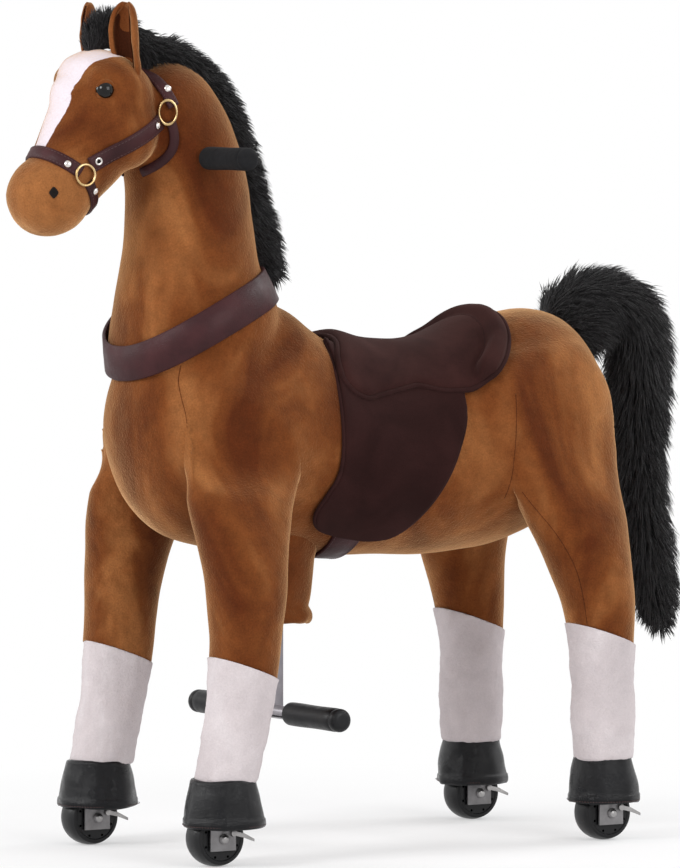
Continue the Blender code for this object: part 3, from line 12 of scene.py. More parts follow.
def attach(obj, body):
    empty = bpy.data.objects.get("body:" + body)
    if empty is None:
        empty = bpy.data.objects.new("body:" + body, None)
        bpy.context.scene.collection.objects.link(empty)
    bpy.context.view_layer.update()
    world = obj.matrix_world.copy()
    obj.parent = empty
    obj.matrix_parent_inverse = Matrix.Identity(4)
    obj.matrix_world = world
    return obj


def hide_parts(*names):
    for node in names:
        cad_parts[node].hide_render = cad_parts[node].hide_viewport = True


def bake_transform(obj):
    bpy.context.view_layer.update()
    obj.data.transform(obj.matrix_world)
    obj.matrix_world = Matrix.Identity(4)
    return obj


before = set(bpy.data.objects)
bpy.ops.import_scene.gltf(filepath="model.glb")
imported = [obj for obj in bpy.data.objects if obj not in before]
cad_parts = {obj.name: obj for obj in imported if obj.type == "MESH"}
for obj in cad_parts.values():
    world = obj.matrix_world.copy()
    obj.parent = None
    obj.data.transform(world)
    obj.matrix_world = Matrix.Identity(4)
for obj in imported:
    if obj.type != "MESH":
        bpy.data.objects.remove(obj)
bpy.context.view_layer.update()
rng = np.random.default_rng(7)
SIDES = {"left": 1.0, "right": -1.0}

# ---------------------------------------------------------------- shapes shared with the CAD source
TORSO = (
    (0.294, 0.500, 0.455, 0.020),
    (0.287, 0.535, 0.418, 0.048),
    (0.270, 0.560, 0.380, 0.074),
    (0.235, 0.585, 0.352, 0.096),
    (0.180, 0.605, 0.337, 0.106),
    (0.115, 0.610, 0.330, 0.108),
    (0.070, 0.586, 0.327, 0.106),
    (0.020, 0.561, 0.325, 0.105),
    (-0.050, 0.553, 0.322, 0.105),
    (-0.110, 0.560, 0.322, 0.107),
    (-0.170, 0.583, 0.328, 0.112),
    (-0.225, 0.597, 0.344, 0.114),
    (-0.270, 0.588, 0.370, 0.104),
    (-0.300, 0.560, 0.405, 0.078),
    (-0.317, 0.522, 0.445, 0.040),
)
NECK = (
    (0.2013, 0.5742, -26.7, 0.1010, 0.0960),
    (0.2085, 0.5960, -23.0, 0.0960, 0.0910),
    (0.2105, 0.6350, -14.0, 0.0840, 0.0790),
    (0.2080, 0.6900, -4.0, 0.0745, 0.0700),
    (0.2120, 0.7450, -10.0, 0.0690, 0.0660),
    (0.2250, 0.7900, -20.0, 0.0660, 0.0620),
    (0.2480, 0.8280, -34.0, 0.0600, 0.0570),
    (0.2720, 0.8460, -44.0, 0.0480, 0.0480),
    (0.2900, 0.8500, -50.0, 0.0220, 0.0240),
)
HEAD_LEAN = 31.0
HEAD = (
    (0.2980, 0.8800, HEAD_LEAN, 0.0180, 0.0220),
    (0.2990, 0.8735, HEAD_LEAN, 0.0350, 0.0420),
    (0.3040, 0.8610, HEAD_LEAN, 0.0500, 0.0560),
    (0.3110, 0.8460, HEAD_LEAN, 0.0590, 0.0620),
    (0.3230, 0.8120, HEAD_LEAN, 0.0600, 0.0580),
    (0.3450, 0.7780, HEAD_LEAN, 0.0530, 0.0490),
    (0.3660, 0.7520, HEAD_LEAN, 0.0455, 0.0445),
    (0.3850, 0.7330, HEAD_LEAN, 0.0455, 0.0460),
    (0.3980, 0.7130, HEAD_LEAN, 0.0400, 0.0410),
    (0.4070, 0.6990, HEAD_LEAN, 0.0270, 0.0280),
    (0.4110, 0.6930, HEAD_LEAN, 0.0120, 0.0130),
)
MANE = (
    (0.3380, 0.8900, 75.0, 0.0120, 0.0110),
    (0.3280, 0.9030, 84.0, 0.0230, 0.0170),
    (0.3060, 0.9080, 92.0, 0.0250, 0.0210),
    (0.2700, 0.8880, 106.0, 0.0240, 0.0220),
    (0.2260, 0.8720, 122.0, 0.0280, 0.0210),
    (0.1850, 0.8400, 138.0, 0.0300, 0.0210),
    (0.1580, 0.7900, 156.0, 0.0300, 0.0210),
    (0.1400, 0.7350, 162.0, 0.0290, 0.0200),
    (0.1240, 0.6850, 162.0, 0.0300, 0.0190),
    (0.1080, 0.6350, 162.0, 0.0240, 0.0150),
)
TAIL = (
    (-0.2700, 0.5880, 62.0, 0.0140, 0.0200),
    (-0.3050, 0.6060, 74.0, 0.0200, 0.0260),
    (-0.3500, 0.6080, 100.0, 0.0270, 0.0300),
    (-0.3880, 0.5820, 140.0, 0.0320, 0.0330),
    (-0.3990, 0.5300, 172.0, 0.0320, 0.0330),
    (-0.3960, 0.4600, 182.0, 0.0290, 0.0320),
    (-0.3980, 0.3800, 178.0, 0.0270, 0.0300),
    (-0.4100, 0.3100, 170.0, 0.0270, 0.0280),
    (-0.4230, 0.2550, 167.0, 0.0220, 0.0210),
    (-0.4320, 0.2220, 166.0, 0.0060, 0.0070),
)
# Limb sections: x, y, z, half depth, half width; the first rows only swell the shoulder and haunch
FRONT_LIMB = (
    (0.1880, 0.0700, 0.535, 0.0480, 0.0120),
    (0.1920, 0.0800, 0.500, 0.0640, 0.0220),
    (0.1980, 0.0880, 0.460, 0.0700, 0.0300),
    (0.2030, 0.0970, 0.420, 0.0680, 0.0350),
    (0.2070, 0.1080, 0.385, 0.0620, 0.0380),
    (0.2100, 0.1190, 0.350, 0.0540, 0.0420),
    (0.2130, 0.1270, 0.310, 0.0470, 0.0425),
    (0.2160, 0.1320, 0.265, 0.0425, 0.0405),
    (0.2190, 0.1335, 0.216, 0.0392, 0.0385),
    (0.2240, 0.1335, 0.170, 0.0358, 0.0358),
    (0.2330, 0.1335, 0.130, 0.0350, 0.0350),
    (0.2430, 0.1335, 0.090, 0.0340, 0.0340),
)
REAR_LIMB = (
    (-0.2050, 0.0700, 0.545, 0.0500, 0.0140),
    (-0.2080, 0.0820, 0.510, 0.0720, 0.0240),
    (-0.2130, 0.0900, 0.465, 0.0800, 0.0300),
    (-0.2190, 0.0980, 0.425, 0.0770, 0.0340),
    (-0.2265, 0.1080, 0.390, 0.0690, 0.0380),
    (-0.2350, 0.1190, 0.350, 0.0605, 0.0430),
    (-0.2430, 0.1270, 0.310, 0.0515, 0.0432),
    (-0.2500, 0.1320, 0.270, 0.0435, 0.0412),
    (-0.2555, 0.1335, 0.228, 0.0385, 0.0380),
    (-0.2575, 0.1335, 0.180, 0.0350, 0.0350),
    (-0.2575, 0.1335, 0.130, 0.0345, 0.0345),
    (-0.2575, 0.1335, 0.090, 0.0330, 0.0330),
)
COLLAR_RISE = math.radians(26.7)
COLLAR_MIDDLE = Vector((0.2085, 0.0, 0.5885))
COLLAR_UP = Vector((math.sin(COLLAR_RISE), 0.0, math.cos(COLLAR_RISE)))
HALF_TRACK = 0.1335
NECK_FOOT = 0.0035
STEERING_GAP = 0.0012


# ---------------------------------------------------------------- mesh helpers
def curve_rows(rows, steps):
    rows = np.array(rows, float)
    last = len(rows) - 1
    out = []
    for i in range(last):
        p0, p1, p2, p3 = rows[max(i - 1, 0)], rows[i], rows[i + 1], rows[min(i + 2, last)]
        for step in range(steps):
            t = step / steps
            out.append(
                0.5 * (2 * p1 + (p2 - p0) * t + (2 * p0 - 5 * p1 + 4 * p2 - p3) * t**2 + (3 * p1 - p0 - 3 * p2 + p3) * t**3)
            )
    out.append(rows[last])
    return np.array(out)


def rings_of(rows, points, steps, grow=0.0):
    """Rings through sections of x, y, z, lean, half depth, half width."""
    rows = curve_rows(rows, steps)
    angle = 2 * np.pi * (np.arange(points) + 0.5) / points
    lean = np.radians(rows[:, 3])[:, None]
    depth = (rows[:, 4] + grow)[:, None] * np.cos(angle)[None]
    width = (rows[:, 5] + grow)[:, None] * np.sin(angle)[None]
    x = rows[:, 0][:, None] + np.cos(lean) * depth
    y = rows[:, 1][:, None] + width
    z = rows[:, 2][:, None] + np.sin(lean) * depth
    return np.stack([x, y, z], -1)


def add_rings(bm, rings, caps=True, closed=True):
    made = [[bm.verts.new(p) for p in ring] for ring in rings]
    for ring, following in zip(made, made[1:]):
        n = len(ring)
        for i in range(n if closed else n - 1):
            j = (i + 1) % n
            bm.faces.new((ring[i], ring[j], following[j], following[i]))
    if caps:
        bm.faces.new(made[0][::-1])
        bm.faces.new(made[-1])
    return made


def add_loft(bm, rows, points=48, steps=5, grow=0.0):
    return add_rings(bm, rings_of(rows, points, steps, grow))


def add_ball(bm, centre, radii, turn=None, segments=28):
    matrix = Matrix.Translation(centre)
    if turn is not None:
        matrix = matrix @ turn.to_4x4()
    matrix = matrix @ Matrix.Diagonal((*radii, 1.0))
    bmesh.ops.create_uvsphere(bm, u_segments=segments, v_segments=segments // 2, radius=1.0, matrix=matrix)


def torso_rows(grow=0.0):
    return [(x, 0.0, (t + b) / 2, 90.0, (t - b) / 2, w) for x, t, b, w in TORSO]


def middle(rows):
    return [(x, 0.0, z, lean, d, w) for x, z, lean, d, w in rows]


def limb(rows, side):
    return [(x, side * y, z, 0.0, d, w) for x, y, z, d, w in rows]


def new_object(name, mesh):
    made = bpy.data.objects.new(name, mesh)
    bpy.context.scene.collection.objects.link(made)
    return made


def from_bmesh(name, bm, smooth=True):
    bmesh.ops.recalc_face_normals(bm, faces=bm.faces)
    mesh = bpy.data.meshes.new(name)
    bm.to_mesh(mesh)
    bm.free()
    if smooth:
        mesh.shade_smooth()
    return new_object(name, mesh)


def apply_modifiers(obj):
    dg = bpy.context.evaluated_depsgraph_get()
    mesh = bpy.data.meshes.new_from_object(obj.evaluated_get(dg))
    old = obj.data
    obj.modifiers.clear()
    obj.data = mesh
    bpy.data.meshes.remove(old)
    mesh.shade_smooth()
    return obj


def voxelled(name, bm, voxel, smooth=8, factor=0.5):
    """One skin round overlapping closed shapes, evened out."""
    obj = from_bmesh(name, bm)
    step = obj.modifiers.new("skin", "REMESH")
    step.mode = "VOXEL"
    step.voxel_size = voxel
    if smooth:
        ease = obj.modifiers.new("ease", "SMOOTH")
        ease.factor = factor
        ease.iterations = smooth
    return apply_modifiers(obj)


def coords(mesh):
    co = np.empty(len(mesh.vertices) * 3, np.float32)
    mesh.vertices.foreach_get("co", co)
    return co.reshape(-1, 3).astype(float)


def set_coords(mesh, co):
    mesh.vertices.foreach_set("co", co.astype(np.float32).ravel())
    mesh.update()


def normals(mesh):
    no = np.empty(len(mesh.vertices) * 3, np.float32)
    mesh.vertices.foreach_get("normal", no)
    return no.reshape(-1, 3).astype(float)


def swell(obj, amount, scale, seed=0.0, octaves=2):
    """Soft unevenness of stuffed plush: points move along their normals by smooth noise."""
    co, no = coords(obj.data), normals(obj.data)
    shift = np.array([noise.fractal(Vector(p) * scale + Vector((seed, 0, 0)), 1.0, 2.0, octaves) for p in co])
    set_coords(obj.data, co + no * (shift * amount)[:, None])


def keep_faces(obj, keep):
    """Copy of the object's mesh with only the faces for which keep(face) holds."""
    bm = bmesh.new()
    bm.from_mesh(obj.data)
    bmesh.ops.delete(bm, geom=[f for f in bm.faces if not keep(f)], context="FACES")
    return bm


def cut(bm, point, normal, close=False):
    """Removes what lies on the side that the normal points to."""
    geom = list(bm.verts) + list(bm.edges) + list(bm.faces)
    result = bmesh.ops.bisect_plane(bm, geom=geom, dist=1e-7, plane_co=point, plane_no=normal, clear_outer=True)
    edge = [e for e in result["geom_cut"] if isinstance(e, bmesh.types.BMEdge)]
    if close:
        bmesh.ops.holes_fill(bm, edges=edge)
    return edge


def roll_in(bm, edges, inward, depth=0.004, steps=3):
    """Turns an open edge inwards, as a hem does."""
    ring = edges
    for k in range(steps):
        grown = bmesh.ops.extrude_edge_only(bm, edges=ring)
        verts = [g for g in grown["geom"] if isinstance(g, bmesh.types.BMVert)]
        ring = [g for g in grown["geom"] if isinstance(g, bmesh.types.BMEdge)]
        for v in verts:
            v.co += inward(v.co, k, steps) * depth / steps
    return ring


def tube(name, path, radius, sides=10, closed=False, squash_to=None):
    """Round tube along points, as a mesh."""
    path = [Vector(p) for p in path]
    count = len(path)
    bm = bmesh.new()
    side = Vector((0.13, 0.21, 0.97))
    rings = []
    for i, place in enumerate(path):
        before = path[(i - 1) % count] if closed else path[max(i - 1, 0)]
        after = path[(i + 1) % count] if closed else path[min(i + 1, count - 1)]
        heading = (after - before).normalized()
        side = (side - heading * side.dot(heading)).normalized()
        other = heading.cross(side)
        r = radius(i / (count - 1)) if callable(radius) else radius
        rings.append(
            [place + (side * math.cos(a) + other * math.sin(a)) * r for a in np.linspace(0, 2 * np.pi, sides, endpoint=False)]
        )
    if closed:
        made = add_rings(bm, rings, caps=False)
        first, last = made[0], made[-1]
        shift = min(range(sides), key=lambda s: sum((last[i].co - first[(i + s) % sides].co).length for i in range(sides)))
        for i in range(sides):
            j = (i + 1) % sides
            bm.faces.new((last[i], last[j], first[(j + shift) % sides], first[(i + shift) % sides]))
    else:
        add_rings(bm, rings)
    return from_bmesh(name, bm)


def join(name, objects):
    """One object out of several meshes, each with its own material slots."""
    bm = bmesh.new()
    mesh = bpy.data.meshes.new(name)
    for obj in objects:
        for mat in obj.data.materials:
            if mat.name not in [m.name for m in mesh.materials]:
                mesh.materials.append(mat)
    for obj in objects:
        before = len(bm.faces)
        bm.from_mesh(obj.data)
        bm.faces.ensure_lookup_table()
        slots = [mesh.materials.find(m.name) for m in obj.data.materials]
        for face in bm.faces[before:]:
            if slots:
                face.material_index = slots[min(face.material_index, len(slots) - 1)]
    bm.to_mesh(mesh)
    bm.free()
    for obj in objects:
        old = obj.data
        bpy.data.objects.remove(obj)
        bpy.data.meshes.remove(old)
    return new_object(name, mesh)


def turned(name, profile, centre, axis, points=48, closed=True):
    """Solid of revolution from radius and height pairs; the profile closes on itself."""
    bm = bmesh.new()
    spin = Vector((0, 0, 1)).rotation_difference(Vector(axis)).to_matrix().to_4x4()
    placed = Matrix.Translation(centre) @ spin
    rings = []
    for i in range(points):
        a = 2 * math.pi * i / points
        rings.append([placed @ Vector((r * math.cos(a), r * math.sin(a), h)) for r, h in profile])
    made = [[bm.verts.new(p) for p in ring] for ring in rings]
    n = len(profile)
    for i in range(points):
        ring, following = made[i], made[(i + 1) % points]
        for k in range(n if closed else n - 1):
            m = (k + 1) % n
            bm.faces.new((ring[k], ring[m], following[m], following[k]))
    bmesh.ops.remove_doubles(bm, verts=bm.verts, dist=1e-7)
    return from_bmesh(name, bm)


def bevelled(obj, width=0.0008, segments=2, angle=35.0):
    step = obj.modifiers.new("edge", "BEVEL")
    step.width = width
    step.segments = segments
    step.limit_method = "ANGLE"
    step.angle_limit = math.radians(angle)
    return apply_modifiers(obj)


# ---------------------------------------------------------------- materials
class Look:
    """Node tree of one material, with short ways to add the usual nodes."""

    def __init__(self, name, roughness=0.6, metallic=0.0, **sockets):
        self.mat = bpy.data.materials.new(name)
        self.mat.use_nodes = True
        self.tree = self.mat.node_tree
        self.shader = self.tree.nodes["Principled BSDF"]
        self.shader.inputs["Roughness"].default_value = roughness
        self.shader.inputs["Metallic"].default_value = metallic
        for key, value in sockets.items():
            self.shader.inputs[key.replace("_", " ")].default_value = value
        place = self.tree.nodes.new("ShaderNodeTexCoord")
        self.where = place.outputs["Object"]
        self.bumps = None

    def node(self, kind, **values):
        made = self.tree.nodes.new(kind)
        for key, value in values.items():
            if key in made.inputs:
                made.inputs[key].default_value = value
            else:
                setattr(made, key, value)
        return made

    def link(self, a, b):
        self.tree.links.new(a, b)

    def mapped(self, scale):
        made = self.node("ShaderNodeMapping")
        made.inputs["Scale"].default_value = scale
        self.link(self.where, made.inputs["Vector"])
        return made.outputs["Vector"]

    def noise(self, scale, detail=3.0, rough=0.55, vector=None, distortion=0.0):
        made = self.node("ShaderNodeTexNoise", Scale=scale, Detail=detail, Roughness=rough, Distortion=distortion)
        self.link(vector or self.where, made.inputs["Vector"])
        return made.outputs["Fac"]

    def ramp(self, value, stops):
        made = self.node("ShaderNodeValToRGB")
        ramp = made.color_ramp
        while len(ramp.elements) < len(stops):
            ramp.elements.new(0.5)
        for element, (at, colour) in zip(ramp.elements, stops):
            element.position = at
            element.color = (*colour, 1.0)
        self.link(value, made.inputs["Fac"])
        return made.outputs["Color"]

    def mix(self, a, b, factor, kind="MIX"):
        made = self.node("ShaderNodeMix", data_type="RGBA", blend_type=kind)
        for socket, value in ((made.inputs["Factor"], factor), (made.inputs["A"], a), (made.inputs["B"], b)):
            pass
        slots = {"factor": made.inputs[0], "a": made.inputs[6], "b": made.inputs[7]}
        for key, value in (("factor", factor), ("a", a), ("b", b)):
            if isinstance(value, bpy.types.NodeSocket):
                self.link(value, slots[key])
            elif isinstance(value, (int, float)):
                slots[key].default_value = value
            else:
                slots[key].default_value = (*value, 1.0)
        return made.outputs[2]

    def maths(self, kind, a, b=0.0, clamp=False):
        made = self.node("ShaderNodeMath", operation=kind, use_clamp=clamp)
        for socket, value in zip(made.inputs, (a, b)):
            if isinstance(value, bpy.types.NodeSocket):
                self.link(value, socket)
            else:
                socket.default_value = value
        return made.outputs[0]

    def span(self, value, low, high, to_low=0.0, to_high=1.0):
        made = self.node("ShaderNodeMapRange")
        self.link(value, made.inputs["Value"])
        for key, number in (("From Min", low), ("From Max", high), ("To Min", to_low), ("To Max", to_high)):
            made.inputs[key].default_value = number
        return made.outputs["Result"]

    def attribute(self, name):
        made = self.node("ShaderNodeAttribute", attribute_name=name)
        return made.outputs["Fac"]

    def colour(self, socket):
        self.link(socket, self.shader.inputs["Base Color"])

    def rough(self, socket):
        self.link(socket, self.shader.inputs["Roughness"])

    def bump(self, height, distance, strength=1.0):
        made = self.node("ShaderNodeBump", Strength=strength, Distance=distance)
        self.link(height, made.inputs["Height"])
        if self.bumps is not None:
            self.link(self.bumps, made.inputs["Normal"])
        self.bumps = made.outputs["Normal"]
        self.link(self.bumps, self.shader.inputs["Normal"])


def rgb(r, g, b):
    """Linear colour from 0-255 display values."""
    def linear(v):
        v /= 255.0
        return v / 12.92 if v <= 0.04045 else ((v + 0.055) / 1.055) ** 2.4

    return (linear(r), linear(g), linear(b))


def plush_look(name, light, mid, dark, blaze=None, sheen=1.0, nap=8.0, tint=rgb(255, 205, 150), pile_depth=1.0):
    look = Look(name, roughness=0.95, Sheen_Weight=sheen, Sheen_Roughness=0.40, Specular_IOR_Level=0.08)
    look.shader.inputs["Sheen Tint"].default_value = (*tint, 1.0)
    patches = look.noise(nap, detail=3.5, rough=0.55, distortion=1.0, vector=look.mapped((1.0, 1.0, 0.55)))
    colour = look.ramp(patches, ((0.36, dark), (0.50, mid), (0.64, light)))
    tufts = look.noise(70.0, detail=3.0)
    colour = look.mix(colour, look.ramp(tufts, ((0.3, (0.72, 0.70, 0.68)), (0.7, (1.15, 1.12, 1.08)))), 0.55 * pile_depth, "MULTIPLY")
    pile = look.noise(520.0, detail=2.0)
    colour = look.mix(colour, look.ramp(pile, ((0.25, (0.55, 0.52, 0.50)), (0.75, (1.35, 1.35, 1.35)))), 0.45 * pile_depth, "MULTIPLY")
    if blaze is not None:
        edge = look.maths("ADD", look.attribute("blaze"), look.span(look.noise(160.0), 0.3, 0.7, -0.10, 0.10))
        white = look.mix(blaze, look.ramp(pile, ((0.2, (0.80, 0.79, 0.80)), (0.8, (1.05, 1.05, 1.05)))), 0.4, "MULTIPLY")
        colour = look.mix(colour, white, look.span(edge, 0.44, 0.56))
    look.colour(colour)
    look.bump(look.noise(60.0, detail=2.0), 0.0016, 0.5)
    look.bump(look.noise(420.0, detail=3.0), 0.0011, 0.8)
    return look.mat


PLUSH_LIGHT = rgb(148, 95, 54)
PLUSH_MID = rgb(112, 61, 28)
PLUSH_DARK = rgb(84, 38, 15)
PLUSH = plush_look("plush brown", PLUSH_LIGHT, PLUSH_MID, PLUSH_DARK)
HEAD_PLUSH = plush_look("plush head", PLUSH_LIGHT, PLUSH_MID, PLUSH_DARK, blaze=rgb(224, 215, 222))
INNER_PLUSH = plush_look("plush ear inside", rgb(96, 50, 26), rgb(66, 31, 15), rgb(46, 20, 9), sheen=0.2)
SOCK = plush_look(
    "plush white", rgb(208, 200, 202), rgb(202, 193, 195), rgb(196, 187, 189), sheen=0.2, nap=14.0, tint=rgb(240, 236, 236), pile_depth=0.3
)


# Colour of the seam lines: partly thread, partly painted shade standing in for the seam's groove
SEAM_THREAD_AND_SHADE = plush_look("seam", rgb(98, 52, 26), rgb(82, 41, 19), rgb(64, 30, 13), sheen=0.3)


def hair_look():
    look = Look("long black pile", roughness=0.55, Specular_IOR_Level=0.35, Sheen_Weight=0.15, Sheen_Roughness=0.4)
    look.colour(look.ramp(look.noise(130.0, detail=3.0), ((0.3, rgb(12, 11, 12)), (0.7, rgb(34, 31, 33)))))
    look.bump(look.noise(700.0, detail=2.0), 0.0005, 0.5)
    return look.mat


HAIR = hair_look()


def suede_look(name, light, dark):
    look = Look(name, roughness=0.95, Sheen_Weight=0.06, Sheen_Roughness=0.55, Specular_IOR_Level=0.06)
    look.shader.inputs["Sheen Tint"].default_value = (0.75, 0.50, 0.45, 1.0)
    rubbed = look.noise(16.0, detail=4.0, distortion=0.6)
    colour = look.ramp(rubbed, ((0.32, dark), (0.68, light)))
    fine = look.noise(900.0, detail=2.0)
    colour = look.mix(colour, look.ramp(fine, ((0.3, (0.75, 0.75, 0.75)), (0.7, (1.2, 1.2, 1.2)))), 0.5, "MULTIPLY")
    look.colour(colour)
    look.bump(look.noise(24.0, detail=2.0), 0.0012, 0.35)
    look.bump(fine, 0.0003, 0.6)
    return look.mat


SUEDE = suede_look("saddle suede", rgb(56, 32, 30), rgb(40, 21, 20))
SUEDE_DARK = suede_look("flap suede", rgb(46, 25, 24), rgb(35, 18, 17))
PIPING = suede_look("piping", rgb(52, 30, 29), rgb(34, 19, 18))


def leather_look(name, light, dark, roughness, grain=420.0, coat=0.15, specular=0.20):
    look = Look(name, roughness=roughness, Coat_Weight=coat, Coat_Roughness=0.25, Specular_IOR_Level=specular)
    worn = look.noise(28.0, detail=4.0)
    look.colour(look.ramp(worn, ((0.3, dark), (0.7, light))))
    cells = look.node("ShaderNodeTexVoronoi", Scale=grain, feature="DISTANCE_TO_EDGE")
    look.link(look.where, cells.inputs["Vector"])
    look.bump(look.span(cells.outputs["Distance"], 0.0, 0.25), 0.00022, 0.55)
    look.bump(look.noise(45.0, detail=3.0), 0.0011, 0.35)
    look.rough(look.span(look.noise(90.0, detail=3.0), 0.2, 0.8, roughness - 0.10, roughness + 0.12))
    return look.mat


LEATHER = leather_look("strap leather", rgb(66, 35, 37), rgb(48, 25, 27), 0.46, coat=0.03, specular=0.13)
BOOT = leather_look("boot vinyl", rgb(17, 17, 20), rgb(11, 11, 13), 0.20, grain=800.0, coat=0.0, specular=0.20)
THREAD = Look("thread", roughness=0.7)
THREAD.colour(THREAD.ramp(THREAD.noise(1500.0), ((0.3, rgb(48, 28, 28)), (0.7, rgb(86, 58, 56)))))
THREAD = THREAD.mat


def metal_look(name, light, dark, roughness, metallic=1.0, scratch=0.25, coat=0.0):
    look = Look(name, roughness=roughness, metallic=metallic, Coat_Weight=coat, Coat_Roughness=0.2)
    look.colour(look.ramp(look.noise(60.0, detail=5.0), ((0.3, dark), (0.7, light))))
    brushed = look.noise(90.0, detail=4.0, vector=look.mapped((14.0, 14.0, 1.0)))
    look.bump(brushed, 0.0002, scratch)
    look.rough(look.span(look.noise(180.0, detail=4.0), 0.25, 0.75, roughness - 0.08, roughness + 0.12))
    return look.mat


PAINTED = metal_look("grey paint", rgb(142, 138, 143), rgb(124, 120, 126), 0.38, metallic=0.35, scratch=0.1, coat=0.3)
PLATE = metal_look("grey plate", rgb(140, 138, 139), rgb(112, 110, 111), 0.42, metallic=0.6)
BRIGHT = metal_look("bright steel", rgb(176, 174, 173), rgb(140, 138, 138), 0.30)
BRASS = metal_look("pale brass", rgb(218, 192, 146), rgb(176, 146, 98), 0.24)
NICKEL = metal_look("nickel", rgb(232, 226, 222), rgb(196, 190, 186), 0.18)


def rubber_look(name, light, dark, roughness, scale=500.0, height=0.0002, coat=0.0):
    look = Look(name, roughness=roughness, Coat_Weight=coat, Coat_Roughness=0.15, Specular_IOR_Level=0.25)
    look.colour(look.ramp(look.noise(40.0, detail=4.0), ((0.3, dark), (0.7, light))))
    look.bump(look.noise(scale, detail=3.0), height, 0.6)
    look.rough(look.span(look.noise(120.0), 0.3, 0.7, roughness - 0.08, roughness + 0.08))
    return look.mat


RUBBER = rubber_look("wheel rubber", rgb(18, 18, 20), rgb(10, 10, 12), 0.36, coat=0.06)
FOAM = rubber_look("grip foam", rgb(24, 24, 26), rgb(14, 14, 16), 0.9, scale=1400.0, height=0.0004)
PEDAL = rubber_look("footrest grip", rgb(20, 20, 23), rgb(12, 12, 14), 0.42, scale=900.0)
# Dark felt of the nostrils, also used as painted shade inside the eyelet holes
NOSTRIL_FELT_AND_HOLE_SHADE = rubber_look("nostril felt and hole shade", rgb(20, 12, 10), rgb(8, 5, 5), 0.9, scale=900.0)


def eye_look():
    look = Look("eye", roughness=0.05, Specular_IOR_Level=0.3)
    look.colour(look.ramp(look.noise(220.0, detail=2.0), ((0.35, rgb(5, 4, 4)), (0.75, rgb(16, 10, 8)))))
    return look.mat


EYE = eye_look()


def dress(obj, mat, body=None, replaces=()):
    """Material, body and replaced nodes of one piece."""
    if mat is not None:
        obj.data.materials.clear()
        obj.data.materials.append(mat)
    if body:
        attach(obj, body)
    if replaces:
        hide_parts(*replaces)
    return obj


# ---------------------------------------------------------------- surface queries
def bvh(obj):
    me = obj.data
    return BVHTree.FromPolygons([v.co for v in me.vertices], [tuple(p.vertices) for p in me.polygons])


def signed_distance(tree, points, reach=0.2):
    out = np.full(len(points), reach)
    for i, p in enumerate(points):
        place, normal, _, dist = tree.find_nearest(Vector(p), reach)
        if place is not None:
            out[i] = dist if (Vector(p) - place).dot(normal) >= 0 else -dist
    return out


def soften_join(obj, distances, radius, side_weight):
    """Moves points out near another skin, so that the two meet without a crease where side_weight is 1."""
    co, no = coords(obj.data), normals(obj.data)
    near = np.clip(1.0 - np.abs(distances) / radius, 0, 1)
    push = radius / 4.0 * near**2 * side_weight(co, no)
    set_coords(obj.data, co + no * push[:, None])


def tuck_under(obj, distances, low, high, depth):
    """Sinks the points outside another skin to a depth below it, fully above one height and not at all below another."""
    co, no = coords(obj.data), normals(obj.data)
    share = smoothstep((co[:, 2] - low) / (high - low))
    sink = np.clip(distances + depth, 0, None) * share
    set_coords(obj.data, co - no * sink[:, None])


def smoothstep(t):
    t = np.clip(t, 0, 1)
    return t * t * (3 - 2 * t)


def cast(tree, origin, direction, reach=0.4):
    place, normal, _, _ = tree.ray_cast(Vector(origin), Vector(direction).normalized(), reach)
    return place, normal


def plane_loop(tree, centre, u, start, end, count, reach=0.25):
    """Points and normals where a fan of rays from a centre, in the plane of u and Y, meets a skin from inside."""
    places, outs = [], []
    u = Vector(u).normalized()
    for a in np.linspace(start, end, count):
        ray = Vector((0, 1, 0)) * math.cos(a) + u * math.sin(a)
        far = Vector(centre) + ray * reach
        place, normal = cast(tree, far, -ray, 0.3)
        if place is not None:
            places.append(place)
            outs.append(normal)
    return places, outs


LONGEST_STEP = 0.015


def side_path(tree, points, side, count, start_y=0.2):
    """Points and normals on a skin below a path of x and z, seen from the horse's side, up to where the skin ends."""
    rows = curve_rows([(x, z, 0.0) for x, z in points], 6)
    step = np.linspace(0, len(rows) - 1, count)
    places, outs = [], []
    for s in step:
        k = min(int(s), len(rows) - 2)
        x, z = (rows[k] + (rows[k + 1] - rows[k]) * (s - k))[:2]
        place, normal = cast(tree, (x, side * start_y, z), (0, -side, 0))
        if place is None or (places and (place - places[-1]).length > LONGEST_STEP):
            break
        places.append(place)
        outs.append(normal)
    return places, outs


def even_out(vectors, times=3, closed=False):
    rows = np.array([tuple(v) for v in vectors], float)
    for _ in range(times):
        if closed:
            rows = (np.roll(rows, 1, 0) + rows * 2 + np.roll(rows, -1, 0)) / 4
        else:
            rows[1:-1] = (rows[:-2] + rows[1:-1] * 2 + rows[2:]) / 4
    return rows


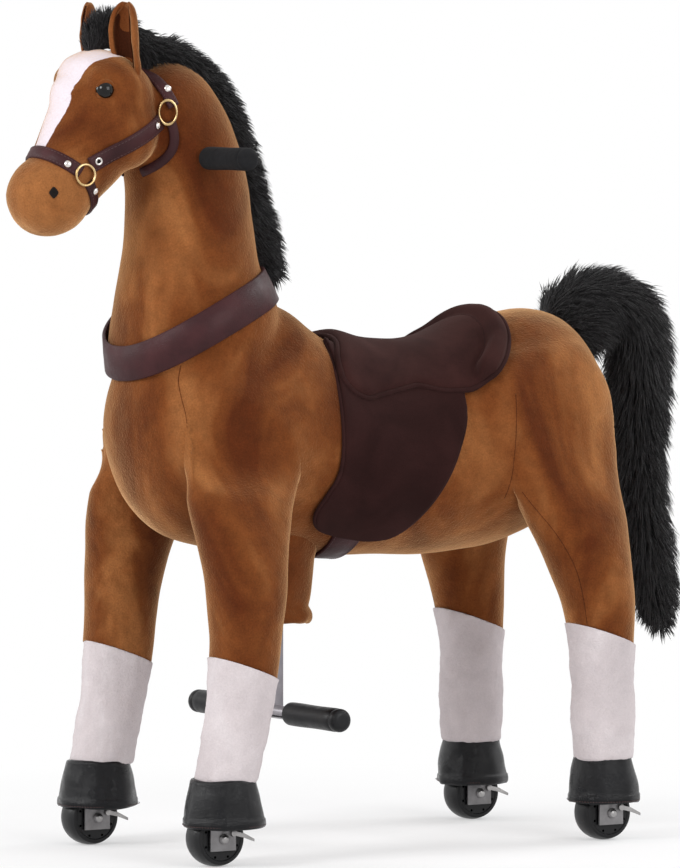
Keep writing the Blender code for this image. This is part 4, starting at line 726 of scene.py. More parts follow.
def strap(name, places, outs, width, thickness=0.0024, lift=0.0006, closed=False, taper=None, stitches=True):
    """Leather strap along a path that lies on a skin, with rounded edges and two rows of stitches."""
    path = even_out(places, 4, closed)
    out = even_out(outs, 8, closed)
    out /= np.linalg.norm(out, axis=1)[:, None]
    count = len(path)
    if closed:
        along = np.roll(path, -1, 0) - np.roll(path, 1, 0)
    else:
        along = np.gradient(path, axis=0)
    along /= np.linalg.norm(along, axis=1)[:, None]
    across = np.cross(along, out)
    across /= np.linalg.norm(across, axis=1)[:, None]
    half = width / 2
    edge = min(0.0011, half * 0.3)
    shape = (
        (-half, 0.0),
        (-half, thickness * 0.55),
        (-half + edge, thickness),
        (0.0, thickness * 1.12),
        (half - edge, thickness),
        (half, thickness * 0.55),
        (half, 0.0),
        (half - edge, -thickness * 0.25),
        (-half + edge, -thickness * 0.25),
    )
    rings = []
    for i in range(count):
        k = 1.0 if taper is None else taper(i / (count - 1))
        rings.append([Vector(path[i] + across[i] * a * k + out[i] * (b + lift)) for a, b in shape])
    bm = bmesh.new()
    made = add_rings(bm, rings, caps=not closed)
    if closed:
        for k in range(len(shape)):
            m = (k + 1) % len(shape)
            bm.faces.new((made[-1][k], made[-1][m], made[0][m], made[0][k]))
    body = from_bmesh(name, bm)
    body.data.materials.append(LEATHER)
    if not stitches:
        return [body]
    lines = []
    for way in (-1, 1):
        line = path + across * (way * (half - 0.0024)) + out * (thickness * 1.02 + lift)
        lines.append((line, out))
    return [body] + [thread_dashes(f"{name}_thread_{k}", line, up) for k, (line, up) in enumerate(lines)]


def thread_dashes(name, line, ups, step=0.0042, length=0.0029, radius=0.00042):
    """Row of short stitches along a line."""
    line = np.asarray(line)
    gaps = np.linalg.norm(np.diff(line, axis=0), axis=1)
    reach = np.concatenate([[0], np.cumsum(gaps)])
    bm = bmesh.new()
    total = reach[-1]
    for s in np.arange(step * 0.5, total - length, step):
        a = np.array([np.interp(s, reach, line[:, k]) for k in range(3)])
        b = np.array([np.interp(s + length, reach, line[:, k]) for k in range(3)])
        up = np.array([np.interp(s, reach, np.asarray(ups)[:, k]) for k in range(3)])
        way = (b - a) / max(np.linalg.norm(b - a), 1e-9)
        side = np.cross(way, up)
        side /= max(np.linalg.norm(side), 1e-9)
        rings = []
        for t, k in ((0.0, 0.35), (0.18, 1.0), (0.82, 1.0), (1.0, 0.35)):
            middle_point = a + (b - a) * t - up * radius * (1 - k) * 0.8
            ring = []
            for turn in np.linspace(0, 2 * np.pi, 6, endpoint=False):
                ring.append(Vector(middle_point + (side * math.cos(turn) + up * math.sin(turn)) * radius * k))
            rings.append(ring)
        add_rings(bm, rings)
    made = from_bmesh(name, bm)
    made.data.materials.append(THREAD)
    return made


def stud(name, place, out, radius=0.0042, mat=None):
    """Domed metal stud."""
    profile = [(radius * math.cos(a), radius * 0.55 * math.sin(a)) for a in np.linspace(0, math.pi / 2, 7)]
    profile[-1] = (0.0, radius * 0.55)
    profile = [(0.0, -0.0012), (radius * 0.98, -0.0012)] + profile
    made = turned(name, profile, Vector(place), Vector(out), 24, closed=False)
    made.data.materials.append(mat or NICKEL)
    return made


def eyelet(name, place, out, radius=0.0046, hole=0.0021):
    """Turned metal ring set flat in a strap, its hole filled by a dark disc of painted shade."""
    mid, wire = (radius + hole) / 2, (radius - hole) / 2
    profile = [(mid + wire * math.cos(a), wire * 0.7 * math.sin(a)) for a in np.linspace(0, 2 * np.pi, 12, endpoint=False)]
    ring = turned(name, profile, Vector(place), Vector(out), 28)
    ring.data.materials.append(NICKEL)
    # The hole's dark disc is painted shade, in the colour of the nostril felt
    hole_shade = turned(f"{name}_hole", [(0.0, -0.001), (hole * 1.15, -0.001), (hole * 1.15, 0.0001), (0.0, 0.0001)], Vector(place), Vector(out), 20, closed=False)
    hole_shade.data.materials.append(NOSTRIL_FELT_AND_HOLE_SHADE)
    return [ring, hole_shade]


def metal_ring(name, centre, radius, wire, axis=(0, 1, 0)):
    profile = [(radius + wire * math.cos(a), wire * math.sin(a)) for a in np.linspace(0, 2 * np.pi, 14, endpoint=False)]
    ring = turned(name, profile, Vector(centre), Vector(axis), 56)
    ring.data.materials.append(BRASS)
    return ring


def strands(name, roots, ways, lengths, width, bend, segments=6, sides=3, wave=0.12, seed=3, clump=38.0, clumping=0.35):
    """Fur of tapering strands: each starts at a root, sets off along its way and bends towards another direction."""
    local = np.random.default_rng(seed)
    roots = np.asarray(roots, float)
    count = len(roots)
    ways = np.asarray(ways, float)
    lengths = np.broadcast_to(lengths, count)[:, None]
    pull = np.broadcast_to(np.asarray(bend, float), (count, 3))
    tuft = np.array([tuple(noise.noise_vector(Vector(p) * clump)) for p in roots])
    ways = ways + tuft * clumping
    ways /= np.linalg.norm(ways, axis=1)[:, None]
    wobble = local.normal(0, 1, (count, 3))
    phase = local.uniform(0, 2 * np.pi, count)[:, None]
    path = [roots]
    heading = ways.copy()
    step = lengths / segments
    for k in range(segments):
        t = (k + 1) / segments
        turn = heading + pull * (t * 1.1 / segments * 3) + wobble * wave * np.sin(phase + t * 5.0)
        heading = turn / np.linalg.norm(turn, axis=1)[:, None]
        path.append(path[-1] + heading * step)
    path = np.stack(path, 1)
    side = np.cross(ways, local.normal(0, 1, (count, 3)))
    side /= np.linalg.norm(side, axis=1)[:, None]
    other = np.cross(ways, side)
    points = []
    for k in range(segments + 1):
        t = k / segments
        r = width * (1.0 - 0.15 * t) * (1.0 - t**3) + 0.00004
        for s in range(sides):
            a = 2 * np.pi * s / sides
            points.append(path[:, k] + (side * math.cos(a) + other * math.sin(a)) * r)
    rows = np.stack(points, 1)
    per = (segments + 1) * sides
    quads = []
    for k in range(segments):
        for s in range(sides):
            n = (s + 1) % sides
            quads.append((k * sides + s, k * sides + n, (k + 1) * sides + n, (k + 1) * sides + s))
    quads = np.array(quads)
    faces = (quads[None] + (np.arange(count) * per)[:, None, None]).reshape(-1, 4)
    mesh = bpy.data.meshes.new(name)
    mesh.vertices.add(count * per)
    mesh.vertices.foreach_set("co", rows.reshape(-1).astype(np.float32))
    mesh.loops.add(faces.size)
    mesh.loops.foreach_set("vertex_index", faces.ravel().astype(np.int32))
    mesh.polygons.add(len(faces))
    mesh.polygons.foreach_set("loop_start", (np.arange(len(faces)) * 4).astype(np.int32))
    mesh.update(calc_edges=True)
    mesh.shade_smooth()
    made = new_object(name, mesh)
    made.data.materials.append(HAIR)
    return made


def scatter(obj, count, seed=1, keep=None):
    """Random points and normals on a mesh."""
    local = np.random.default_rng(seed)
    me = obj.data
    me.calc_loop_triangles()
    co = coords(me)
    tri = np.array([t.vertices for t in me.loop_triangles])
    a, b, c = co[tri[:, 0]], co[tri[:, 1]], co[tri[:, 2]]
    cross = np.cross(b - a, c - a)
    area = np.linalg.norm(cross, axis=1)
    if keep is not None:
        area = area * keep((a + b + c) / 3)
    pick = local.choice(len(tri), count, p=area / area.sum())
    u, v = local.random(count), local.random(count)
    flip = u + v > 1
    u[flip], v[flip] = 1 - u[flip], 1 - v[flip]
    points = a[pick] + (b - a)[pick] * u[:, None] + (c - a)[pick] * v[:, None]
    no = cross[pick] / np.linalg.norm(cross[pick], axis=1)[:, None]
    return points, no


# ---------------------------------------------------------------- torso and legs
def shrunk(rows, by):
    return [(*row[:-2], row[-2] - by, row[-1] - by) for row in rows]


# Seams of the plush cover, drawn a little below the pile as dark lines that are partly thread and partly painted shade
# of the groove: x and z of their course on a side
BODY_SEAMS = {
    "rear": ((-0.1530, 0.5050), (-0.1474, 0.4600), (-0.1450, 0.4250), (-0.1442, 0.3870)),
    "chest": ((0.2616, 0.5450), (0.2640, 0.5085), (0.2640, 0.4756), (0.2600, 0.4380)),
}
LEG_SEAMS = {
    "rear": ((-0.1560, 0.3950), (-0.1880, 0.3450), (-0.2080, 0.3000), (-0.2210, 0.2450)),
}
SEAM_RADIUS = 0.0006
# Heights between which a leg's top slips under the body's skin
TUCK = {"front": (0.394, 0.470), "rear": (0.430, 0.500)}


def lay_seam_thread_and_shade(tree, name, course, side, body):
    """Dark line of a seam, half sunk in the pile: its thread and the painted shade of its groove."""
    places, outs = side_path(tree, course, side, 40)
    path = [p - n * SEAM_RADIUS * 0.35 for p, n in zip(places, outs)]
    dress(tube(name, even_out(path, 2), SEAM_RADIUS, 6), SEAM_THREAD_AND_SHADE, body)


def make_torso():
    bm = bmesh.new()
    add_loft(bm, torso_rows(), 56, 5)
    stump = (
        (0.185, 0.0, 0.500, -20.0, 0.085, 0.088),
        (0.1960, 0.0, 0.5480, -24.0, 0.0960, 0.0940),
        (0.2013, 0.0, 0.5742, -26.7, 0.1000, 0.0950),
        (0.2150, 0.0, 0.6010, -26.7, 0.0980, 0.0930),
    )
    add_loft(bm, stump, 48, 4)
    torso = voxelled("torso skin", bm, 0.0042, 10)
    bm = bmesh.new()
    bm.from_mesh(torso.data)
    top = COLLAR_MIDDLE - COLLAR_UP * (NECK_FOOT + STEERING_GAP)
    edge = cut(bm, top, COLLAR_UP)
    roll_in(bm, edge, lambda p, k, n: ((top - p) * 0.6 - COLLAR_UP * 0.006).normalized() * 2, 0.012)
    old = torso.data
    bpy.data.objects.remove(torso)
    bpy.data.meshes.remove(old)
    torso = from_bmesh("torso_skin", bm)
    return torso


def make_limb(end, word, side):
    bm = bmesh.new()
    add_loft(bm, limb(FRONT_LIMB if end == "front" else REAR_LIMB, side), 44, 5)
    return voxelled(f"{end}_leg_skin_{word}", bm, 0.0038, 8)


SOCK_EDGE = {"front": (0.2200, 0.214, 0.38), "rear": (-0.2555, 0.2310, 0.36)}
SOCK_GAP = 0.0003
SOCK_SPREAD = 0.0014


def sock_plane(end):
    x, z, slope = SOCK_EDGE[end]
    return Vector((x, 0, z)), Vector((-slope, 0, 1)).normalized()


def outer_side(co, no):
    """1 on a flank, 0 under the belly and between the legs."""
    return smoothstep((np.abs(co[:, 1]) - 0.060) / 0.035) * smoothstep((np.abs(no[:, 1]) * np.sign(co[:, 1] * no[:, 1]) + 0.15) / 0.5)


def make_body_and_legs():
    torso = make_torso()
    limbs = {}
    for end in ("front", "rear"):
        for word, side in SIDES.items():
            limbs[end, word] = make_limb(end, word, side)
    torso_tree = bvh(torso)
    trees = {key: bvh(obj) for key, obj in limbs.items()}
    co = coords(torso.data)
    nearest = np.full(len(co), 0.2)
    for (end, word), tree in trees.items():
        middle_x = 0.2 if end == "front" else -0.215
        close = (np.abs(co[:, 0] - middle_x) < 0.14) & (co[:, 1] * SIDES[word] > 0.02) & (co[:, 2] < 0.60)
        found = np.full(len(co), 0.2)
        found[close] = signed_distance(tree, co[close])
        nearest = np.where(np.abs(found) < np.abs(nearest), found, nearest)
    soften_join(torso, nearest, 0.042, outer_side)
    swell(torso, 0.0032, 9.0, 2.0)
    torso.data.shade_smooth()
    dress(torso, PLUSH, "frame", ("torso_plush",))
    for (end, word), obj in limbs.items():
        distances = signed_distance(torso_tree, coords(obj.data))
        soften_join(obj, distances, 0.042, outer_side)
        low, high = TUCK[end]
        tuck_under(obj, signed_distance(bvh(torso), coords(obj.data)), low, high, 0.0015)
        swell(obj, 0.0026, 12.0, 5.0 if end == "front" else 11.0)
        place, up = sock_plane(end)
        bm = bmesh.new()
        bm.from_mesh(obj.data)
        edge = cut(bm, place + up * SOCK_GAP, -up)
        roll_in(bm, edge, lambda p, k, n: Vector((place.x - p.x, SIDES[word] * HALF_TRACK - p.y, 0)).normalized(), 0.008)
        old = obj.data
        mesh = bpy.data.meshes.new(obj.name)
        bm.to_mesh(mesh)
        bm.free()
        mesh.shade_smooth()
        obj.data = mesh
        bpy.data.meshes.remove(old)
        obj.data.materials.append(PLUSH)
        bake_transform(obj)
        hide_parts(f"{end}_leg_plush_{word}")
        if end in LEG_SEAMS:
            lay_seam_thread_and_shade(bvh(obj), f"{end}_leg_seam_{word}", LEG_SEAMS[end], SIDES[word], f"{end}_legs")
    tree = bvh(torso)
    for word, side in SIDES.items():
        for where, course in BODY_SEAMS.items():
            lay_seam_thread_and_shade(tree, f"{where}_body_seam_{word}", course, side, "frame")
    return torso


def make_sock(end, word, side):
    rows = limb(FRONT_LIMB if end == "front" else REAR_LIMB, side)[5:]
    bm = bmesh.new()
    add_loft(bm, [(*r[:4], r[4] + SOCK_SPREAD, r[5] + SOCK_SPREAD) for r in rows], 44, 6)
    sock = voxelled(f"{end}_sock_skin_{word}", bm, 0.0032, 6)
    swell(sock, 0.0026, 22.0, 3.0 + side)
    swell(sock, 0.0007, 120.0, 9.0 + side)
    bm = bmesh.new()
    bm.from_mesh(sock.data)
    place, up = sock_plane(end)
    edge = cut(bm, place, up)
    roll_in(bm, edge, lambda p, k, n: Vector((place.x - p.x, side * HALF_TRACK - p.y, 0)).normalized() - up * 0.4, 0.006)
    old = sock.data
    bpy.data.objects.remove(sock)
    bpy.data.meshes.remove(old)
    sock = from_bmesh(f"{end}_sock_skin_{word}", bm)
    return dress(sock, SOCK, f"{end}_legs", (f"{end}_sock_{word}",))


# ---------------------------------------------------------------- boots, forks, wheels
BOOT = {"front": (0.246, 0.0362, 0.0440, BOOT), "rear": (-0.2575, 0.0330, 0.0395, BOOT)}


def make_boot(end, word, side):
    x, top, bottom, mat = BOOT[end]
    top_z, foot_z = 0.0932, 0.0430
    outer = []
    for t in np.linspace(0, 1, 12):
        bulge = 0.0012 * math.sin(math.pi * t)
        outer.append((top + (bottom - top) * t**1.15 + bulge, top_z - 0.0025 - (top_z - 0.0025 - foot_z - 0.010) * t))
    hem = [
        (bottom + 0.0004, foot_z + 0.0095),
        (bottom + 0.0011, foot_z + 0.0085),
        (bottom + 0.0014, foot_z + 0.0050),
        (bottom + 0.0012, foot_z + 0.0015),
        (bottom + 0.0004, foot_z),
        (bottom - 0.0012, foot_z + 0.0001),
        (bottom - 0.0022, foot_z + 0.0020),
    ]
    crown = [(top - 0.0075, top_z + 0.0018), (top - 0.0040, top_z + 0.0022), (top - 0.0015, top_z + 0.0012), (top - 0.0003, top_z - 0.0008)]
    inner = [(top - 0.0040, top_z - 0.0100), (top - 0.0075, top_z - 0.0020)]
    profile = crown + outer + hem + inner
    boot = turned(f"{end}_boot_shell_{word}", profile, Vector((x, side * HALF_TRACK, 0)), (0, 0, 1), 96)
    co = coords(boot.data)
    angle = np.arctan2(co[:, 1] - side * HALF_TRACK, co[:, 0] - x)
    depth = np.clip((top_z - co[:, 2]) / 0.05, 0, 1)
    wave = 0.0011 * np.sin(angle * 3 + side) * depth + 0.0007 * np.sin(angle * 7 + 1.3) * depth
    seam = np.exp(-(((angle - SEAM_ANGLE * side + np.pi) % (2 * np.pi) - np.pi) / 0.035) ** 2)
    radial = np.stack([np.cos(angle), np.sin(angle), np.zeros_like(angle)], 1)
    set_coords(boot.data, co + radial * (wave + 0.0011 * seam)[:, None])
    swell(boot, 0.0018, 30.0, side)
    dress(boot, mat, f"{end}_legs", (f"{end}_boot_{word}",))
    rim = bottom + 0.0016
    angles = np.linspace(0, 2 * np.pi, 120)
    for k, height in enumerate((foot_z + 0.0026,)):
        line = np.stack([x + np.cos(angles) * rim, side * HALF_TRACK + np.sin(angles) * rim, np.full(120, height)], 1)
        ups = np.stack([np.cos(angles), np.sin(angles), np.zeros(120)], 1)
        rim_wave = 0.0011 * np.sin(angles * 3 + side) + 0.0007 * np.sin(angles * 7 + 1.3)
        dashes = thread_dashes(f"{end}_boot_hem_stitches_{word}_{k}", line + ups * rim_wave[:, None], ups, 0.0034, 0.0022, 0.00036)
        dress(dashes, None, f"{end}_legs")
    return boot


SEAM_ANGLE = math.radians(62.0)


WHEEL_HOLES = 8
WHEEL_HOLE = 0.0015
WHEEL_HOLE_CIRCLE = 0.0215


def make_wheel(end, word, side):
    """Moulded wheel: crowned tread, a ring of round holes through the web, and a hub."""
    radius, half = 0.0311, 0.0150
    profile = []
    for t in np.linspace(0, 1, 9):
        y = -half * 0.93 + t * half * 1.86
        profile.append((radius - 0.0030 * (abs(y) / half) ** 2.6, y))
    profile += [
        (radius - 0.0046, half),
        (radius - 0.0064, half),
        (radius - 0.0074, half - 0.0010),
        (0.0125, half - 0.0012),
        (0.0115, half - 0.0004),
        (0.0075, half - 0.0004),
        (0.0044, half - 0.0012),
    ]
    profile += [(r, -y) for r, y in reversed(profile[9:])]
    centre = Vector((AXLE_X[end], side * HALF_TRACK, AXLE_Z))
    wheel = turned(f"{end}_wheel_tread_{word}", profile, centre, (0, 1, 0), 96)
    bm = bmesh.new()
    for k in range(WHEEL_HOLES):
        a = 2 * math.pi * (k + 0.5) / WHEEL_HOLES
        spot = centre + Vector((math.cos(a), 0, math.sin(a))) * WHEEL_HOLE_CIRCLE
        matrix = Matrix.Translation(spot) @ Matrix.Rotation(math.pi / 2, 4, "X")
        bmesh.ops.create_cone(bm, cap_ends=True, segments=20, radius1=WHEEL_HOLE, radius2=WHEEL_HOLE, depth=0.06, matrix=matrix)
    holes = from_bmesh("wheel holes", bm, False)
    step = wheel.modifiers.new("holes", "BOOLEAN")
    step.operation = "DIFFERENCE"
    step.solver = "EXACT"
    step.object = holes
    apply_modifiers(wheel)
    bpy.data.objects.remove(holes)
    wheel.data.set_sharp_from_angle(angle=math.radians(38))
    return dress(wheel, RUBBER, f"{end}_wheel_{word}", (f"{end}_wheel_{word}",))


def copy_of(node, name, width=0.0006):
    """Copy of a CAD node with softened edges."""
    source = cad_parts[node]
    made = new_object(name, source.data.copy())
    weld = made.modifiers.new("weld", "WELD")
    weld.merge_threshold = 1e-6
    flat = made.modifiers.new("flat", "DECIMATE")
    flat.decimate_type = "DISSOLVE"
    flat.angle_limit = math.radians(0.5)
    apply_modifiers(made)
    bevelled(made, width, 2, 30.0)
    made.data.set_sharp_from_angle(angle=math.radians(50))
    return made


AXLE_X = {"front": 0.257, "rear": -0.257}
AXLE_Z = 0.0315 * math.cos(math.pi / 20)
BOLT_SINK = 0.0006


def make_running_gear():
    for end in ("front", "rear"):
        for word, side in SIDES.items():
            body = f"front_fork_{word}" if end == "front" else "rear_legs"
            fork = copy_of(f"{end}_fork_{word}", f"{end}_fork_plate_{word}", 0.0005)
            dress(fork, PLATE, body, (f"{end}_fork_{word}",))
            high = max(v.co.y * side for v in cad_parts[f"{end}_fork_{word}"].data.vertices)
            for near in (high, -high + 2 * HALF_TRACK):
                face = 1.0 if near > HALF_TRACK else -1.0
                place = Vector((AXLE_X[end], side * (near - face * BOLT_SINK), AXLE_Z))
                bolt = stud(f"{end}_bolt_{word}_{'outer' if face > 0 else 'inner'}", place, (0, side * face, 0), 0.0046, BRIGHT)
                dress(bolt, None, body)
            pawl = copy_of(f"{end}_pawl_{word}", f"{end}_pawl_bright_{word}", 0.0003)
            dress(pawl, BRIGHT, f"{end}_pawl_{word}", (f"{end}_pawl_{word}",))
            make_wheel(end, word, side)
            make_boot(end, word, side)
            make_sock(end, word, side)


# ---------------------------------------------------------------- neck and head
EYE_PLACE = (0.3430, 0.0480, 0.8460)
MUZZLE_MIDDLE = (0.3870, 0.0, 0.7315)
MUZZLE_RADII = (0.0470, 0.0475, 0.0445)
FOREHEAD_MIDDLE = (0.3370, 0.0, 0.8360)
FOREHEAD_RADII = (0.0430, 0.0430, 0.0370)


def make_head():
    bm = bmesh.new()
    add_loft(bm, shrunk(middle(NECK), 0.001), 52, 5)
    add_loft(bm, shrunk(middle(HEAD), 0.001), 44, 5)
    add_ball(bm, MUZZLE_MIDDLE, MUZZLE_RADII)
    add_ball(bm, FOREHEAD_MIDDLE, FOREHEAD_RADII)
    for side in SIDES.values():
        add_ball(bm, (0.3100, side * 0.026, 0.8050), (0.044, 0.036, 0.048))
        add_ball(bm, (0.3380, side * 0.0340, 0.8540), (0.0210, 0.0190, 0.0210))
    skin = voxelled("head_skin", bm, 0.0030, 7)
    co, no = coords(skin.data), normals(skin.data)
    for side in SIDES.values():
        eye = np.array([EYE_PLACE[0], side * EYE_PLACE[1], EYE_PLACE[2]])
        near = np.linalg.norm(co - eye, axis=1)
        co -= no * (0.0042 * np.exp(-((near / 0.011) ** 2)))[:, None]
    set_coords(skin.data, co)
    swell(skin, 0.0014, 16.0, 4.0)
    bm = bmesh.new()
    bm.from_mesh(skin.data)
    foot = COLLAR_MIDDLE - COLLAR_UP * NECK_FOOT
    edge = cut(bm, foot, -COLLAR_UP)
    roll_in(bm, edge, lambda p, k, n: (foot - p).normalized() + COLLAR_UP * 0.5, 0.014)
    old = skin.data
    bpy.data.objects.remove(skin)
    bpy.data.meshes.remove(old)
    skin = from_bmesh("head_skin", bm)
    co = coords(skin.data)
    mark = skin.data.attributes.new("blaze", "FLOAT", "POINT")
    mark.data.foreach_set("value", blaze_amount(co).astype(np.float32))
    skin.data.materials.append(HEAD_PLUSH)
    dress(skin, None, "neck", ("neck_plush", "head_plush"))
    return skin


# Blaze: height and half width
BLAZE = (
    (0.905, 0.036),
    (0.885, 0.036),
    (0.868, 0.028),
    (0.850, 0.0235),
    (0.833, 0.0235),
    (0.820, 0.020),
    (0.805, 0.015),
    (0.788, 0.011),
    (0.772, 0.010),
)


def blaze_amount(co):
    """1 inside the white blaze down the front of the head, 0 outside, from its half width at each height."""
    heights = [z for z, _ in reversed(BLAZE)]
    widths = [w for _, w in reversed(BLAZE)]
    half = np.interp(co[:, 2], heights, widths)
    lean = np.radians(HEAD_LEAN)
    front = (co[:, 0] - 0.3230) * np.cos(lean) + (co[:, 2] - 0.8120) * np.sin(lean)
    inside = (half - np.abs(co[:, 1])) / 0.006 + 0.5
    return np.clip(inside, 0, 1) * smoothstep((front + 0.004) / 0.02) * smoothstep((co[:, 2] - 0.774) / 0.006)


def make_eyes(tree):
    for word, side in SIDES.items():
        x, y, z = EYE_PLACE
        place, normal = cast(tree, (x, side * 0.15, z), (0, -side, 0))
        out = (Vector((0.35, side, 0.05)).normalized() + normal).normalized()
        centre = place - out * 0.0032
        bm = bmesh.new()
        add_ball(bm, centre, (0.0108, 0.0108, 0.0108), None, 40)
        eye = from_bmesh(f"eye_ball_{word}", bm)
        dress(eye, EYE, "neck", (f"eye_{word}",))
        lids = []
        for k, (start, end, thick) in enumerate(((20, 160, 0.0034), (195, 345, 0.0024))):
            side_axis = Vector((0, 0, 1)).cross(out).normalized()
            up = out.cross(side_axis).normalized()
            path = []
            for a in np.radians(np.linspace(start, end, 15)):
                path.append(centre + out * 0.0040 + side_axis * math.cos(a) * 0.0094 + up * math.sin(a) * 0.0092)
            lid = tube(f"eyelid_{word}_{k}", path, lambda t, r=thick: r * (0.35 + 0.65 * math.sin(math.pi * t) ** 0.6), 10)
            lid.data.materials.append(PLUSH)
            lids.append(lid)
        for lid in lids:
            dress(lid, None, "neck")


def make_nostrils(tree):
    for word, side in SIDES.items():
        out = Vector((0.0160, side * 0.0370, 0.0030)).normalized()
        place, normal = cast(tree, Vector(MUZZLE_MIDDLE) + out * 0.1, -out)
        across = normal.cross(Vector((0, 0, 1))).normalized()
        up = across.cross(normal).normalized()
        bm = bmesh.new()
        ring = []
        for a in np.linspace(0, 2 * np.pi, 24, endpoint=False):
            r = 0.0052 / (abs(math.cos(a)) ** 1.3 + abs(math.sin(a)) ** 1.3) ** (1 / 1.3)
            ring.append((math.cos(a) * r, math.sin(a) * r * 1.25))
        rings = []
        for grow, rise in ((1.0, -0.0012), (1.0, 0.0004), (0.72, 0.0010), (0.25, 0.0002)):
            rings.append([place + across * u * grow + up * v * grow + normal * rise for u, v in ring])
        add_rings(bm, rings)
        patch = from_bmesh(f"nostril_{word}", bm)
        dress(patch, NOSTRIL_FELT_AND_HOLE_SHADE, "neck")


# Ear sections from root to tip: share of the height, half width, how far the middle leans forward
EAR_SHAPE = (
    (0.00, 0.0100, -0.004),
    (0.16, 0.0125, -0.001),
    (0.36, 0.0148, 0.003),
    (0.56, 0.0155, 0.005),
    (0.74, 0.0146, 0.005),
    (0.88, 0.0118, 0.004),
    (0.96, 0.0076, 0.003),
    (1.00, 0.0026, 0.002),
)
EAR_ROOT = Vector((0.3105, 0.0400, 0.8600))
EAR_HEIGHT = 0.0800
EAR_WALL = 0.0062
EAR_TURN = math.radians(22.0)


def ear_fold(side, grow, setback, rows):
    """Rings of a leaf curled round the ear's hollow; grow scales its width and setback moves it forward."""
    opening = Vector((math.cos(EAR_TURN), side * math.sin(EAR_TURN), 0.0))
    across = Vector((-side * math.sin(EAR_TURN), math.cos(EAR_TURN), 0.0))
    root = Vector((EAR_ROOT.x, side * EAR_ROOT.y, EAR_ROOT.z))
    rings = []
    for share, half, forward in rows:
        mid = root + Vector((forward, 0.0, EAR_HEIGHT * share)) + opening * setback
        ring = []
        for a in np.linspace(-1.95, 1.95, 17):
            ring.append(mid + across * (math.sin(a) * half * grow) - opening * (math.cos(a) * half * grow * 0.62))
        rings.append(ring)
    return rings


def make_ears():
    rows = curve_rows(EAR_SHAPE, 4)
    for word, side in SIDES.items():
        bm = bmesh.new()
        add_rings(bm, ear_fold(side, 1.0, 0.0, rows), caps=False, closed=False)
        shell = from_bmesh(f"ear_plush_{word}", bm)
        thick = shell.modifiers.new("thick", "SOLIDIFY")
        thick.thickness = EAR_WALL
        thick.offset = 0.0
        ease = shell.modifiers.new("ease", "SUBSURF")
        ease.levels = ease.render_levels = 2
        apply_modifiers(shell)
        swell(shell, 0.0012, 40.0, 3.0 + side)
        dress(shell, PLUSH, "neck", (f"ear_{word}",))
        bm = bmesh.new()
        add_rings(bm, ear_fold(side, 0.74, 0.0006, rows[2:-3]), caps=False, closed=False)
        lining = from_bmesh(f"ear_lining_{word}", bm)
        dress(lining, INNER_PLUSH, "neck")


# ---------------------------------------------------------------- bridle and collar
RING_PLACES = {"lower": (0.3679, 0.7538), "upper": (0.2668, 0.8215)}
CHEEK_STRAP = ((0.2740, 0.8115), (0.3053, 0.7945), (0.3334, 0.7787), (0.3605, 0.7640))
THROAT_STRAP = ((0.2630, 0.8120), (0.2585, 0.7960), (0.2600, 0.7790), (0.2720, 0.7620), (0.2890, 0.7470), (0.3010, 0.7420))
UNDER_JAW = (-0.549, 0.0, -0.836)
OVER_NOSE = (0.810, 0.0, 0.586)
OVER_CROWN = (0.420, 0.0, 0.907)


def on_neck(pieces, replaces=()):
    for piece in pieces:
        dress(piece, None, "neck")
    if replaces:
        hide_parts(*replaces)


def make_bridle(tree):
    x, z = RING_PLACES["lower"]
    places, outs = plane_loop(tree, (x, 0, z), OVER_NOSE, 0.12, math.pi - 0.12, 60)
    on_neck(strap("noseband_leather", places, outs, 0.0150), replaces=("noseband",))
    places, outs = plane_loop(tree, (x, 0, z), UNDER_JAW, 0.22, math.pi - 0.22, 60, 0.072)
    on_neck(strap("chin_strap_leather", places, outs, 0.0125, lift=0.0010))
    places, outs = plane_loop(tree, (0.2610, 0, 0.8300), OVER_CROWN, -0.05, math.pi + 0.05, 80)
    on_neck(strap("crown_strap_leather", places, outs, 0.0130, lift=0.0018), replaces=("crown_strap",))
    for word, side in SIDES.items():

        def skin_at(x, z, lift):
            place, out = cast(tree, (x, side * 0.2, z), (0, -side, 0))
            return place + out * lift, out

        centre, out = skin_at(*RING_PLACES["lower"], 0.0038)
        low = metal_ring(f"lower_ring_brass_{word}", centre, 0.0114, 0.0015, out)
        on_neck([low], (f"lower_ring_{word}",))
        centre, out = skin_at(*RING_PLACES["upper"], 0.0042)
        high = metal_ring(f"upper_ring_brass_{word}", centre, 0.0118, 0.0015, out)
        oval = Matrix.Translation(centre) @ Matrix.Diagonal((0.80, 1.0, 1.12, 1.0)) @ Matrix.Translation(-centre)
        high.data.transform(oval)
        on_neck([high], (f"upper_ring_{word}",))
        places, outs = side_path(tree, CHEEK_STRAP, side, 30)
        on_neck(strap(f"cheek_strap_leather_{word}", places, outs, 0.0180), replaces=(f"cheek_strap_{word}",))
        places, outs = side_path(tree, THROAT_STRAP, side, 26)
        on_neck(strap(f"throat_strap_leather_{word}", places, outs, 0.0105, stitches=False))
        studs = {"cheek": (0.2840, 0.8065), "chin": (0.3535, 0.7365), "nose": (0.3850, 0.7650), "crown": (0.2650, 0.8462)}
        for where, place in studs.items():
            at, out = skin_at(*place, 0.0036)
            on_neck([stud(f"{where}_stud_{word}", at, out)])
        at, out = skin_at(0.3520, 0.7690, 0.0034)
        on_neck(eyelet(f"cheek_eyelet_{word}", at, out))


COLLAR_WIDTH = 0.0390
COLLAR_SIDE_RISE = 0.0130
COLLAR_HALF_WIDTH = 0.0950


